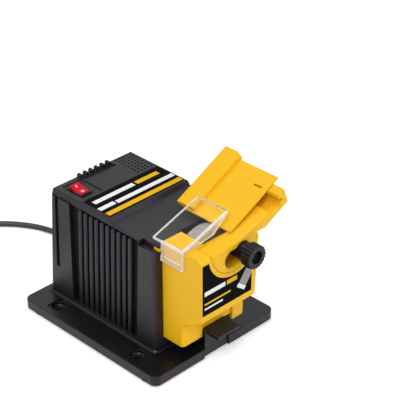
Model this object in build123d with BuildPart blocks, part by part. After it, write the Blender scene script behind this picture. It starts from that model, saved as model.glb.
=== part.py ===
"""Bench tool sharpener with a clip-on guide for chisels and plane blades, each piece its own solid.

Millimetres. The origin is on the bench, midway between the bench-screw holes: +X to the right of someone
who faces the attachment, +Y to the back, +Z up.
"""

import math
import os

from build123d import *

os.makedirs("parts", exist_ok=True)

# Clearances and cuts shared by all pieces
overrun = 2.0  # how far a cut passes the face that it opens
running_gap = 0.05  # radial room of a shaft in its bearing
seat_gap = 0.05  # radial room of a fixed round seat
moving_gap = 0.3  # room between pieces that move past each other
upright_share = 0.9  # an edge this steep counts as an upright one

# Base plate
bench_hole_spacing_x = 130.0
bench_hole_spacing_y = 113.2
bench_hole_d = 5.5
bench_boss_d = 20.0
bench_well_d = 14.6
bench_well_depth = 5.0
bench_well_fillet = 2.4
bench_scoop_length = 17.5
bench_scoop_width = 15.4
bench_scoop_depth = 1.2
base_width = 161.2
base_depth = 188.6
base_centre_y = -2.85
base_height = 10.0
base_wall = 3.0
base_corner_r = 7.5
base_edge_r = 0.9
base_lip_width = 2.4
base_lip_height = 2.2
base_lip_gap = 0.2
base_lip_chamfer = 1.6
foot_height = 2.5
foot_d = 14.0
foot_side_inset = 8.0
foot_end_inset = 18.5
foot_edge_r = 0.8

base_top = foot_height + base_height
base_front = base_centre_y - base_depth / 2
base_back = base_centre_y + base_depth / 2
foot_spacing_x = base_width - 2 * foot_side_inset
foot_spacing_y = base_depth - 2 * foot_end_inset

# Housing shell
housing_width = 104.0
housing_height = 110.0
housing_front_setback = 29.95
housing_back_setback = 8.0
housing_back_lean = 7.0
housing_wall = 2.5
housing_corner_r = 3.5
rim_rise = 3.2  # of the side rims above the seat of the cover
rib_zone_back = 34.15  # from the back of the foot to the ribbed pocket
rib_zone_front = 20.3  # from the front face to the top of the ribbed pocket
rib_zone_flare = 5.2  # how much wider the front pillar is at its foot
rib_zone_low = 3.0
rib_depth = 6.5
rib_setback = 0.4  # of the ribs' faces from the side of the shell
rib_count = 10
rib_pitch_share = 0.08  # of the pocket's length
rib_width_share = 0.66  # of the pitch
rib_edge_share = 0.4  # of the rib's width
rib_lean = 3.6  # of a rib's foot towards the back
rib_top_gap = 1.6
rib_shift = -0.4  # of the ribs from the middle of the pocket
vent_width_share = 0.26  # of the pitch
vent_end_margin = 14.0
pillar_slot_back = 15.85  # from the back of the foot to the top of the slot in the rear pillar
pillar_slot_lean = 2.1
pillar_slot_width = 4.5
pillar_slot_depth = 3.2
pillar_slot_low = 34.0
screw_boss_d = 9.0
screw_boss_height = 22.0
screw_boss_inset = 3.0
screw_d = 3.5
screw_pilot_d = 3.7
screw_head_d = 7.0
screw_head_height = 2.4
screw_length = 18.0

housing_front = base_front + housing_front_setback
housing_back = base_back - housing_back_setback
housing_top = base_top + housing_height
housing_side = housing_width / 2
housing_top_back = housing_back - housing_back_lean
housing_rim = housing_top + rim_rise
rim_back = housing_top_back - housing_back_lean * rim_rise / housing_height
rim_inside = housing_side - rib_depth
housing_inside = rim_inside - housing_wall
screw_boss_x = housing_inside - screw_boss_inset
screw_boss_front = housing_front + housing_wall + screw_boss_inset
screw_boss_back = housing_back - housing_wall - screw_boss_inset - screw_boss_d / 2

# Top cover: the raised cap at the back and the sloping deck at the front
cover_inset = 1.35
cover_wall = 2.5
cap_height = 11.0
cap_front_setback = 60.0
cap_back_lean = 3.15
cap_edge_r = 1.2
deck_front_height = 4.5
deck_back_height = 7.0
deck_step_length = 3.0
deck_notch_depth = 5.7  # of the gap behind the wheel
cover_notch_depth = 20.0
cover_notch_width = 5.0
cover_skirt_depth = 4.0
cover_skirt_wall = 1.8
cover_skirt_gap = 0.1
cover_rim_gap = 0.2
tooth_count = 6
tooth_pitch = 7.2
tooth_r = 2.2
tooth_length = 5.0
tooth_centre_x = -0.4
tooth_rise = 1.0
trough_centre_x = 2.0
trough_length = 40.0
trough_width = 6.5
trough_depth = 1.9
trough_back_gap = 8.0
dimple_columns = 5
dimple_rows = 8
dimple_pitch = 4.6
dimple_size = 2.3
dimple_depth = 1.0
dimple_inset_x = 14.0
dimple_inset_y = 19.5
cap_label_inset = 2.65
cap_label_depth = 38.0
cap_label_front_gap = 2.0
label_thickness = 0.4

cover_side = housing_side - cover_inset
cap_top = housing_top + cap_height
cap_front = housing_front + cap_front_setback
cap_back = housing_top_back - cap_back_lean

# Rocker switch in the cap
switch_inset = 16.0  # from the shell's left side to the rocker's middle
switch_back_gap = 21.5  # from the back of the cap to the rocker's axis
switch_panel_width = 24.0
switch_panel_depth = 32.0
switch_panel_recess = 1.0
switch_panel_shift = 4.0
switch_flange_width = 14.6
switch_flange_depth = 21.0
switch_flange_height = 1.6
switch_body_width = 13.0
switch_body_depth = 19.4
switch_body_height = 16.0
switch_pocket_width = 11.6
switch_pocket_depth = 18.0
switch_pocket_drop = 8.0
rocker_width = 10.8
rocker_length = 16.4
rocker_end_height = 2.2
rocker_mid_height = 0.9
rocker_belly = 5.0
rocker_belly_length = 9.0
rocker_tilt = 9.0
rocker_pin_r = 0.8
rocker_axis_drop = 0.4
terminal_width = 4.8
terminal_thickness = 0.8
terminal_length = 7.0
terminal_pitch = 6.0

switch_x = switch_inset - housing_side
switch_y = cap_back - switch_back_gap
switch_floor = cap_top - switch_panel_recess
rocker_axis_z = switch_floor + switch_flange_height - rocker_axis_drop
switch_body_low = switch_floor - switch_body_height

# Motor, on an axis that runs front to back
motor_axis_drop = 19.5  # below the top of the shell
shaft_r = 4.0
bearing_r = 11.0
bearing_width = 9.0
bearing_groove_r = 7.5
bearing_groove_depth = 1.0
bearing_lip = 2.5
bearing_boss_r = 15.0
bearing_boss_hole_r = 9.0
bracket_thickness = 8.0
bracket_reach_low = 22.0
bracket_reach_high = 10.0
bracket_neck_width = 56.0
bracket_neck_reach = 19.0
rear_bracket_gap = 6.5  # from the back of the cap to the rear bracket
commutator_clearance = 4.0  # from the commutator to the rear bracket
front_bracket_thickness = 4.0
front_bracket_hole_r = 16.0
stator_width = 54.0
stator_height = 40.0
stator_length = 32.0
stator_corner_r = 5.0
stator_gap = 0.6
stator_front_gap = 10.0
winding_outer_r = 19.0
winding_inner_r = 15.4
winding_length = 7.0
winding_edge_r = 1.0
motor_bolt_x = 22.5
motor_bolt_z = 14.0
motor_bolt_r = 2.0
motor_bolt_head_r = 3.6
motor_bolt_head = 2.5
spacer_r = 3.6
rotor_r = 14.0
rotor_slot_count = 12
rotor_slot_width = 2.0
rotor_slot_depth = 3.0
rotor_winding_r = 12.0
rotor_winding_length = 5.0
commutator_r = 9.0
commutator_length = 10.0
commutator_gap = 2.0
brush_width = 6.0
brush_height = 5.0
brush_length = 13.0
brush_gap = 0.3
brush_holder_wall = 1.2
brush_holder_length = 11.0
brush_holder_gap = 1.5
fan_r = 18.0
fan_hub_r = 8.0
fan_length = 11.0
fan_plate = 1.6
fan_blades = 11
fan_blade_thickness = 1.4
fan_blade_overlap = 0.6
fan_gap = 8.0

motor_z = housing_top - motor_axis_drop
rear_bracket_front = cap_back - rear_bracket_gap - bracket_thickness
commutator_back = rear_bracket_front - commutator_clearance
commutator_front = commutator_back - commutator_length
stator_back = commutator_front - commutator_gap - rotor_winding_length
stator_front = stator_back - stator_length
front_bracket_back = stator_front - stator_front_gap

# Grinding wheel and what clamps it on the shaft
wheel_r = 29.5
wheel_thickness = 14.0
wheel_setback = 5.0
wheel_edge_r = 0.8
wheel_recess_r = 16.0
wheel_recess_depth = 2.0
collar_r = 13.0
collar_stub_r = 8.0
washer_r = 12.0
washer_thickness = 2.0
nut_across_flats = 13.0
nut_height = 5.0
shaft_nut_tail = 0.5

wheel_back = housing_front - wheel_setback
wheel_front = wheel_back - wheel_thickness
washer_back = wheel_front + wheel_recess_depth
nut_back = washer_back - washer_thickness
shaft_front = nut_back - nut_height - shaft_nut_tail

# Attachment body
body_half_width = 41.3
body_depth = 24.0
body_wall = 2.5
body_leg_low = 13.0
body_rise = 8.0  # above the top of the shell
leg_step = 2.0
leg_height = 24.5
leg_chamfer = 3.6
left_leg_inner = 15.2
right_leg_inner = 24.7
keeper_height = 19.5
overhang_depth = 49.0
overhang_back_drop = 82.4  # from the body's top to the back of the overhang's sloping underside
overhang_front_drop = 67.0  # from the body's top to the front of that underside
overhang_right_low = 30.2
overhang_right_high = 34.6
overhang_right_chamfer = 0.8
overhang_edge_chamfer = 4.0
wheel_opening_left = 17.0
right_wall_drop = 10.0
pocket_wall_drop = 1.0
ear_length = 6.0
ear_height = 3.4
ear_reach = 4.7
ear_top_rise = 2.6  # above the top of the shell
ear_gap = 0.3

body_top = housing_top + body_rise
body_front = housing_front - body_depth
overhang_front = housing_front - overhang_depth
overhang_back_low = body_top - overhang_back_drop
overhang_front_low = body_top - overhang_front_drop
right_wall_top = body_top - right_wall_drop
ear_high = housing_top + ear_top_rise
ear_low = ear_high - ear_height

# Front label plate, cut to the round seat of the arm
front_label_left = 38.5
front_label_right = 25.4
front_label_low_drop = 60.0  # from the body's top
front_label_high_drop = 6.0
front_label_right_drop = 26.0
front_label_arc_r = 33.7
front_label_corner = 0.8

# Tilting arm: a round heel in a seat of the body, a ramp, and a rail for the carriage
guide_tilt = 27.0
pivot_x = 2.3
pivot_rise = 1.0  # above the body's top
heel_r = 29.0
heel_left_angle = 185.0
heel_right_angle = 358.4
arm_thickness = 18.9
arm_proud = 0.4
arm_edge_r = 0.8
arm_bottom = -19.4  # across the slope, from the pivot
arm_kink_u = 7.5  # along the slope, from the pivot
arm_top_gap = 0.4
ramp_top = -8.2
channel_start = 46.9
channel_width = 13.5
channel_floor = -14.6
channel_lean = 2.5
channel_groove_width = 3.0
channel_groove_depth = 2.0
channel_groove_top = -8.2
rail_end_top = 71.8
rail_end_low = 70.0
rail_start = 36.3
rail_length = 61.0
clamp_arc_r = 15.6
clamp_arc_start = 259.0
clamp_arc_end = 311.7
clamp_slot_half = 9.05
clamp_slot_depth = 14.0
clamp_slot_inner_half = 4.0

pivot_z = body_top + pivot_rise
arm_front = overhang_front - arm_proud
arm_back = arm_front + arm_thickness
rail_back = arm_back + rail_length

# Guide carriage: slides front to back on the rail of the arm
plate_start = 8.0  # along the slope, from the pivot
plate_end = 79.0
plate_thickness = 1.5
carriage_low = -3.0  # across the slope, from the pivot
carriage_overlap = 5.5  # how far the plate reaches forward over the arm
carriage_width = 69.2
fence_start = 10.0
fence_end = 83.4
fence_height = 6.0
fence_width = 21.2
fence_corner_cut = 1.8
fence_corner_run = 5.5
fence_edge_r = 0.6
plate_slit_start = 61.3
plate_slit_length = 1.6
plate_slit_width = 9.4
plate_slit_inset = 6.5
end_pocket_depth = 2.5
end_pocket_height = 2.8
end_pocket_width = 8.0
end_pocket_inset = 5.0
tongue_gap = 0.4
tongue_back_inset = 6.0
tongue_front_inset = 11.0
tongue_floor_gap = 0.4

carriage_front = arm_back - carriage_overlap
carriage_back = carriage_front + carriage_width
rail_top = carriage_low - moving_gap

# Eye guard: clear sheet folded over the left wall
guard_thickness = 2.2
guard_back_gap = 10.0  # how far it reaches behind the attachment's back face
guard_width = 38.6
guard_left_rise = 2.6  # above the body's top
guard_right_x = 15.0
guard_right_rise = 21.5
guard_lip_drop = 18.0  # below the body's top
guard_lip_gap = 0.5  # from the housing's front face to the lip
gusset_left_x = 27.7
gusset_mid_x = 3.3
gusset_mid_rise = 3.6
guard_lift = 0.3
guard_hem = 0.9
guard_hem_height = 5.5

guard_back = housing_front + guard_back_gap
guard_front = guard_back - guard_width
guard_left_x = body_half_width + guard_thickness

# Clamp knob on a bolt that is fixed in the body
clamp_bolt_r = 3.0
clamp_bolt_head_r = 5.5
clamp_bolt_head = 2.4
clamp_bolt_inset = 1.5
knob_gap = 7.7  # from the arm's front to the ribbed head
knob_r = 10.8
knob_length = 10.4
knob_rib_count = 20
knob_rib_r = 0.9
knob_recess_r = 6.6
knob_recess_depth = 4.0
knob_hub_r = 8.6
knob_bore_gap = 0.08

clamp_angle = math.radians(clamp_arc_end)
clamp_x = pivot_x + clamp_arc_r * math.cos(clamp_angle)
clamp_z = pivot_z + clamp_arc_r * math.sin(clamp_angle)
knob_back = arm_front - knob_gap
knob_front = knob_back - knob_length
knob_hub_length = knob_gap + clamp_slot_depth - moving_gap
pocket_back = arm_back + moving_gap

# Release latch: a tongue of the base that flexes at its root
latch_width = 29.4
latch_slit = 1.5
latch_setback = 1.3  # from the front of the base
latch_root_gap = 1.5  # from the housing's front face to the root
latch_plate = 3.0
latch_low_gap = 1.0
latch_pad_height = 21.0
latch_pad_thickness = 3.0
latch_pad_reach = 17.0
latch_nose = 1.35
latch_groove_count = 7
latch_groove_pitch = 2.2
latch_groove_width = 1.0
latch_groove_depth = 0.6
latch_edge_r = 0.8

latch_front = base_front + latch_setback
latch_root = housing_front - latch_root_gap
latch_half = latch_width / 2
latch_pad_top = base_top + latch_pad_height

# Mains lead: strain relief, free stretch, coil with its tie, plug
cord_d = 6.2
gland_inset = 22.0  # from the shell's right side
gland_height = 11.5
gland_boss_size = 18.0
gland_boss_depth = 5.0
gland_stem_r = 5.0
gland_stem_length = 9.0
gland_collar_r = 7.0
gland_collar = 2.5
gland_sleeve_length = 20.0
gland_sleeve_r = 5.6
gland_tip_r = 4.0
arc_share = 0.45  # share of the shorter run that each arc takes up
coil_turn_pitch = 8.0
coil_layer_rise = 7.4
coil_inner_r = 23.6
coil_half_turns = 7
coil_end_angle = 180.0
coil_end_straight = 30.0
tie_thickness = 1.0
tie_width = 9.0
tie_gap = 0.6
tie_angle = 110.0
plug_sleeve_length = 16.0
plug_sleeve_r = 5.2
plug_sleeve_tip_r = 3.9
plug_length = 36.0
plug_width = 33.0
plug_neck_width = 16.0
plug_neck_share = 0.45
plug_edge_r = 3.0
plug_pin_r = 2.0
plug_pin_length = 19.0
plug_pin_spacing = 18.6
plug_pin_edge_r = 0.8

cord_r = cord_d / 2
gland_x = housing_side - gland_inset
gland_z = base_top + gland_height
gland_tip_y = housing_back + gland_collar + gland_sleeve_length
coil_z = tie_thickness + cord_r + tie_gap / 2

# The free stretch of the lead: out of the strain relief, down to the bench, back and to the left
cord_route = [
    (gland_x, gland_tip_y, gland_z),
    (gland_x, 123.0, gland_z),
    (30.4, 137.0, 18.0),
    (30.6, 151.0, 10.0),
    (30.4, 165.5, coil_z),
    (28.5, 180.0, cord_r),
    (24.0, 194.5, cord_r),
    (17.2, 207.0, cord_r),
    (8.5, 219.5, cord_r),
    (-1.8, 230.4, cord_r),
    (-14.0, 242.0, 3.5),
    (-27.0, 254.4, coil_z),
    (-38.5, 263.6, coil_z),
    (-49.6, 272.6, coil_z),
]


def front_plane(y):
    """Plane across the object at y, drawn with X to the right and Z up, growing to the front."""
    return Plane.XZ.offset(-y)


def guide_plane(y):
    """Plane at y, centred on the arm's pivot, drawn along and across the slope, growing to the front."""
    tilt = math.radians(guide_tilt)
    slope = (math.cos(tilt), 0, math.sin(tilt))
    return Plane(origin=(pivot_x, y, pivot_z), x_dir=slope, z_dir=(0, -1, 0))


def slope_plane(height):
    """Plane on the slope at a height across it from the pivot, drawn along the slope and along Y."""
    tilt = math.radians(guide_tilt)
    slope = Vector(math.cos(tilt), 0, math.sin(tilt))
    across = Vector(-math.sin(tilt), 0, math.cos(tilt))
    return Plane(origin=Vector(pivot_x, 0, pivot_z) + across * height, x_dir=slope, z_dir=across)


def ring(y, outer_r, inner_r=0):
    """Disc or ring about the motor axis, in the plane at y."""
    with BuildSketch(front_plane(y)) as made:
        with Locations((0, motor_z)):
            Circle(outer_r)
            if inner_r:
                Circle(inner_r, mode=Mode.SUBTRACT)
    return made.sketch


def outline(plane, *points):
    """Face with straight sides through the points, in the plane."""
    with BuildSketch(plane) as made:
        with BuildLine():
            Polyline(*points, close=True)
        make_face()
    return made.sketch


def block(x_span, y_span, z_span):
    """Rectangle under a block, and the block's height, from its spans along X, Y and Z."""
    low_x, high_x = x_span
    low_y, high_y = y_span
    low_z, high_z = z_span
    corners = (low_x, low_y), (high_x, low_y), (high_x, high_y), (low_x, high_y)
    return outline(Plane.XY.offset(low_z), *corners), high_z - low_z


def on_slope(angle, radius):
    """Point of a circle about the pivot at an angle from level, in the sloping plane's own coordinates."""
    turned = math.radians(angle - guide_tilt)
    return radius * math.cos(turned), radius * math.sin(turned)


def biarc(start, start_way, end, end_way):
    """Meeting point, and way there, of two tangent arcs between two points with given ways."""
    span = end - start
    both = start_way + end_way
    square = 4 - both.dot(both)
    linear = 2 * span.dot(both)
    reach = (math.sqrt(linear**2 + 4 * square * span.dot(span)) - linear) / (2 * square)
    first = start + start_way * reach
    last = end - end_way * reach
    return (first + last) * 0.5, (last - first).normalized()


def keep(builder, name):
    """Label a finished piece and write it."""
    builder.part.label = name
    export_step(builder.part, f"parts/{name}.step")


bench_holes = GridLocations(bench_hole_spacing_x, bench_hole_spacing_y, 2, 2).locations
foot_places = [
    Location((place.position.X, place.position.Y + base_centre_y, 0))
    for place in GridLocations(foot_spacing_x, foot_spacing_y, 2, 2)
]
screw_places = [
    Location((side * screw_boss_x, y, 0))
    for side in (-1, 1)
    for y in (screw_boss_front, screw_boss_back)
]
motor_bolt_places = [
    Location((side * motor_bolt_x, motor_z + level * motor_bolt_z))
    for side in (-1, 1)
    for level in (-1, 1)
]

# Base plate: a tray turned over, with solid posts over the feet and round the bench screws
with BuildPart() as base_plate:
    with BuildSketch(Plane.XY.offset(foot_height)):
        with Locations((0, base_centre_y)):
            RectangleRounded(base_width, base_depth, base_corner_r)
    extrude(amount=base_height)
    fillet(base_plate.faces().sort_by(Axis.Z)[-1].edges(), base_edge_r)
    with BuildSketch(Plane.XY.offset(foot_height)):
        with Locations((0, base_centre_y)):
            RectangleRounded(
                base_width - 2 * base_wall, base_depth - 2 * base_wall, base_corner_r - base_wall
            )
    extrude(amount=base_height - base_wall, mode=Mode.SUBTRACT)
    with BuildSketch(Plane.XY.offset(foot_height)):
        with Locations(*foot_places):
            Circle(foot_d / 2)
    extrude(amount=base_height - base_wall)
    with BuildSketch():
        with Locations(*bench_holes):
            Circle(bench_boss_d / 2)
    extrude(amount=base_top - base_wall)
    lip_grow = 2 * (base_lip_gap + base_lip_width)
    foot_depth = housing_back - housing_front
    with BuildSketch(Plane.XY.offset(base_top)):
        with Locations((0, (housing_front + housing_back) / 2)):
            RectangleRounded(
                housing_width + lip_grow,
                foot_depth + lip_grow,
                housing_corner_r + base_lip_gap + base_lip_width,
            )
            RectangleRounded(
                housing_width + 2 * base_lip_gap,
                foot_depth + 2 * base_lip_gap,
                housing_corner_r + base_lip_gap,
                mode=Mode.SUBTRACT,
            )
    extrude(amount=base_lip_height)
    lip_top = base_plate.faces().sort_by(Axis.Z)[-1]
    chamfer(lip_top.outer_wire().edges(), base_lip_chamfer)
    with BuildSketch(Plane.XY.offset(base_top)):
        with Locations(*bench_holes):
            Rectangle(bench_scoop_length, bench_scoop_width)
    extrude(amount=-bench_scoop_depth, mode=Mode.SUBTRACT)
    with Locations(*[Location((p.position.X, p.position.Y, base_top)) for p in bench_holes]):
        CounterBoreHole(bench_hole_d / 2, bench_well_d / 2, bench_well_depth)
    well_floor = base_top - bench_well_depth
    well_rounds = base_plate.edges().filter_by(GeomType.CIRCLE)
    well_rounds = well_rounds.filter_by_position(Axis.Z, well_floor, well_floor)
    fillet(well_rounds.filter_by(lambda edge: edge.radius > bench_hole_d), bench_well_fillet)
    with BuildSketch():
        with Locations(*screw_places):
            Circle(screw_pilot_d / 2)
    extrude(amount=base_top + overrun, mode=Mode.SUBTRACT)
    slot_half = latch_half + latch_slit
    latch_slot, latch_slot_height = block(
        (-slot_half, slot_half),
        (base_front - overrun, latch_root),
        (0, base_top + base_lip_height + overrun),
    )
    extrude(latch_slot, amount=latch_slot_height, mode=Mode.SUBTRACT)
keep(base_plate, "base_plate")

with BuildPart() as rubber_feet:
    with BuildSketch():
        with Locations(*foot_places):
            Circle(foot_d / 2)
    extrude(amount=foot_height)
    fillet(rubber_feet.edges().group_by(Axis.Z)[0], foot_edge_r)
keep(rubber_feet, "rubber_feet")

# Release latch: strip in the slot of the base, upright plate, and a grooved thumb pad
with BuildPart() as release_latch:
    strip_back = latch_root - moving_gap
    strip, strip_height = block(
        (-latch_half, latch_half), (latch_front, strip_back), (base_top - latch_plate, base_top)
    )
    extrude(strip, amount=strip_height)
    plate_low = foot_height + latch_low_gap
    plate, plate_height = block(
        (-latch_half, latch_half), (latch_front, latch_front + latch_plate), (plate_low, latch_pad_top)
    )
    extrude(plate, amount=plate_height)
    pad_low = latch_pad_top - latch_pad_thickness
    pad_front = latch_front - latch_pad_reach
    pad_back = latch_front + latch_plate + latch_nose
    pad, pad_height = block((-latch_half, latch_half), (pad_front, pad_back), (pad_low, latch_pad_top))
    extrude(pad, amount=pad_height)
    fillet(release_latch.edges().filter_by(Axis.X).sort_by(Axis.Y)[:2], latch_edge_r)
    groove_middle = pad_front + latch_pad_reach / 2
    with BuildSketch(Plane.XY.offset(latch_pad_top)):
        with Locations((0, groove_middle)):
            with GridLocations(latch_width, latch_groove_pitch, 1, latch_groove_count):
                Rectangle(latch_width + overrun, latch_groove_width)
    extrude(amount=-latch_groove_depth, mode=Mode.SUBTRACT)
keep(release_latch, "release_latch")

with BuildPart() as housing_screws:
    with BuildSketch(Plane.XY.offset(base_top - base_wall)):
        with Locations(*screw_places):
            Circle(screw_head_d / 2)
    extrude(amount=-screw_head_height)
    with BuildSketch(Plane.XY.offset(base_top - base_wall)):
        with Locations(*screw_places):
            Circle(screw_d / 2)
    extrude(amount=screw_length)
keep(housing_screws, "housing_screws")

# Housing shell: open at top and bottom, with a ribbed pocket in each side
with BuildPart() as housing_shell:
    shell_sides = (
        (housing_front, base_top),
        (housing_back, base_top),
        (rim_back, housing_rim),
        (housing_front, housing_rim),
    )
    extrude(outline(Plane.YZ, *shell_sides), amount=housing_side, both=True)
    uprights = housing_shell.edges().filter_by(lambda e: abs((e % 0.5).Z) > upright_share)
    fillet(uprights, housing_corner_r)
    inner_sides = (
        (housing_front + housing_wall, base_top),
        (housing_back - housing_wall, base_top),
        (housing_top_back - housing_wall, housing_top),
        (housing_front + housing_wall, housing_top),
    )
    extrude(outline(Plane.YZ, *inner_sides), amount=housing_inside, both=True, mode=Mode.SUBTRACT)
    for half_width, back in (
        (rim_inside, housing_back + overrun),
        (housing_side + overrun, housing_front + cover_notch_depth),
    ):
        cover_seat, cover_seat_height = block(
            (-half_width, half_width), (housing_front - overrun, back), (housing_top, housing_rim + overrun)
        )
        extrude(cover_seat, amount=cover_seat_height, mode=Mode.SUBTRACT)
    zone_back = housing_back - rib_zone_back
    zone_front = housing_front + rib_zone_front
    zone_low = base_top + rib_zone_low
    zone_high = housing_rim + overrun
    rib_pitch = rib_pitch_share * (zone_back - zone_front)
    rib_width = rib_width_share * rib_pitch
    rib_high = housing_rim - rib_top_gap - rib_width / 2
    rib_middle = (zone_back + zone_front) / 2 + rib_shift
    rib_side = housing_side - rib_setback
    vent_low = zone_low + vent_end_margin
    vent_high = rib_high - vent_end_margin
    vent_width = vent_width_share * rib_pitch
    vent_turn = 90 + math.degrees(math.atan2(rib_lean, rib_high - zone_low))
    slot_y = housing_back - pillar_slot_back
    for side in (-1, 1):
        pocket_floor = Plane.YZ.offset(side * rim_inside)
        rib_pocket = outline(
            pocket_floor,
            (zone_front + rib_zone_flare, zone_low),
            (zone_back, zone_low),
            (zone_back, zone_high),
            (zone_front, zone_high),
        )
        extrude(rib_pocket, amount=side * (rib_depth + overrun), mode=Mode.SUBTRACT)
        with BuildSketch(pocket_floor):
            with Locations((rib_middle, 0)):
                with GridLocations(rib_pitch, 0, rib_count, 1):
                    Polygon(
                        (-rib_width / 2, rib_high),
                        (rib_lean - rib_width / 2, zone_low),
                        (rib_lean + rib_width / 2, zone_low),
                        (rib_width / 2, rib_high),
                        align=(Align.NONE, Align.NONE),
                    )
                    with Locations((0, rib_high)):
                        Circle(rib_width / 2)
        extrude(amount=side * (rib_depth - rib_setback))
        rib_faces = housing_shell.faces().filter_by_position(Axis.X, side * rib_side, side * rib_side)
        rib_edges = rib_faces.edges().filter_by(lambda e: (e @ 0.5).Z > zone_low + rib_setback)
        fillet(rib_edges, rib_edge_share * rib_width)
        with BuildSketch(pocket_floor):
            with Locations((rib_middle + rib_lean / 2, (vent_low + vent_high) / 2)):
                with GridLocations(rib_pitch, 0, rib_count - 1, 1):
                    SlotOverall(vent_high - vent_low, vent_width, rotation=vent_turn)
        extrude(amount=-side * (housing_wall + overrun), mode=Mode.SUBTRACT)
        slot_low = base_top + pillar_slot_low
        pillar_slot = outline(
            Plane.YZ.offset(side * (housing_side - pillar_slot_depth)),
            (slot_y + pillar_slot_lean - pillar_slot_width / 2, slot_low),
            (slot_y + pillar_slot_lean + pillar_slot_width / 2, slot_low),
            (slot_y + pillar_slot_width / 2, zone_high),
            (slot_y - pillar_slot_width / 2, zone_high),
        )
        extrude(pillar_slot, amount=side * (pillar_slot_depth + overrun), mode=Mode.SUBTRACT)
        ear_inner = side * (body_half_width - body_wall - ear_gap)
        ear_outer = side * (body_half_width + ear_reach + ear_gap)
        ear_pocket, ear_pocket_height = block(
            sorted((ear_inner, ear_outer)),
            (housing_front - overrun, housing_front + ear_length + ear_gap),
            (ear_low - ear_gap, housing_top + overrun),
        )
        extrude(ear_pocket, amount=ear_pocket_height, mode=Mode.SUBTRACT)
    boss_back = housing_front + bearing_lip + bearing_width
    boss_length = bearing_lip + bearing_width
    extrude(ring(boss_back, bearing_boss_r), amount=boss_length)
    extrude(ring(boss_back, bearing_r + seat_gap), amount=bearing_width, mode=Mode.SUBTRACT)
    extrude(ring(boss_back, bearing_boss_hole_r), amount=boss_length + overrun, mode=Mode.SUBTRACT)
    with BuildSketch(Plane.XY.offset(base_top)):
        with Locations(*screw_places):
            Circle(screw_boss_d / 2)
    extrude(amount=screw_boss_height)
    with BuildSketch(Plane.XY.offset(base_top)):
        with Locations(*screw_places):
            Circle(screw_pilot_d / 2)
    extrude(amount=screw_length, mode=Mode.SUBTRACT)
    with BuildSketch(front_plane(housing_back)):
        with Locations((gland_x, gland_z)):
            Rectangle(gland_boss_size, gland_boss_size)
    extrude(amount=gland_boss_depth)
    with BuildSketch(front_plane(housing_back)):
        with Locations((gland_x, gland_z)):
            Circle(gland_stem_r + seat_gap)
    extrude(amount=gland_boss_depth + housing_wall, mode=Mode.SUBTRACT)
keep(housing_shell, "housing_shell")

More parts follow.
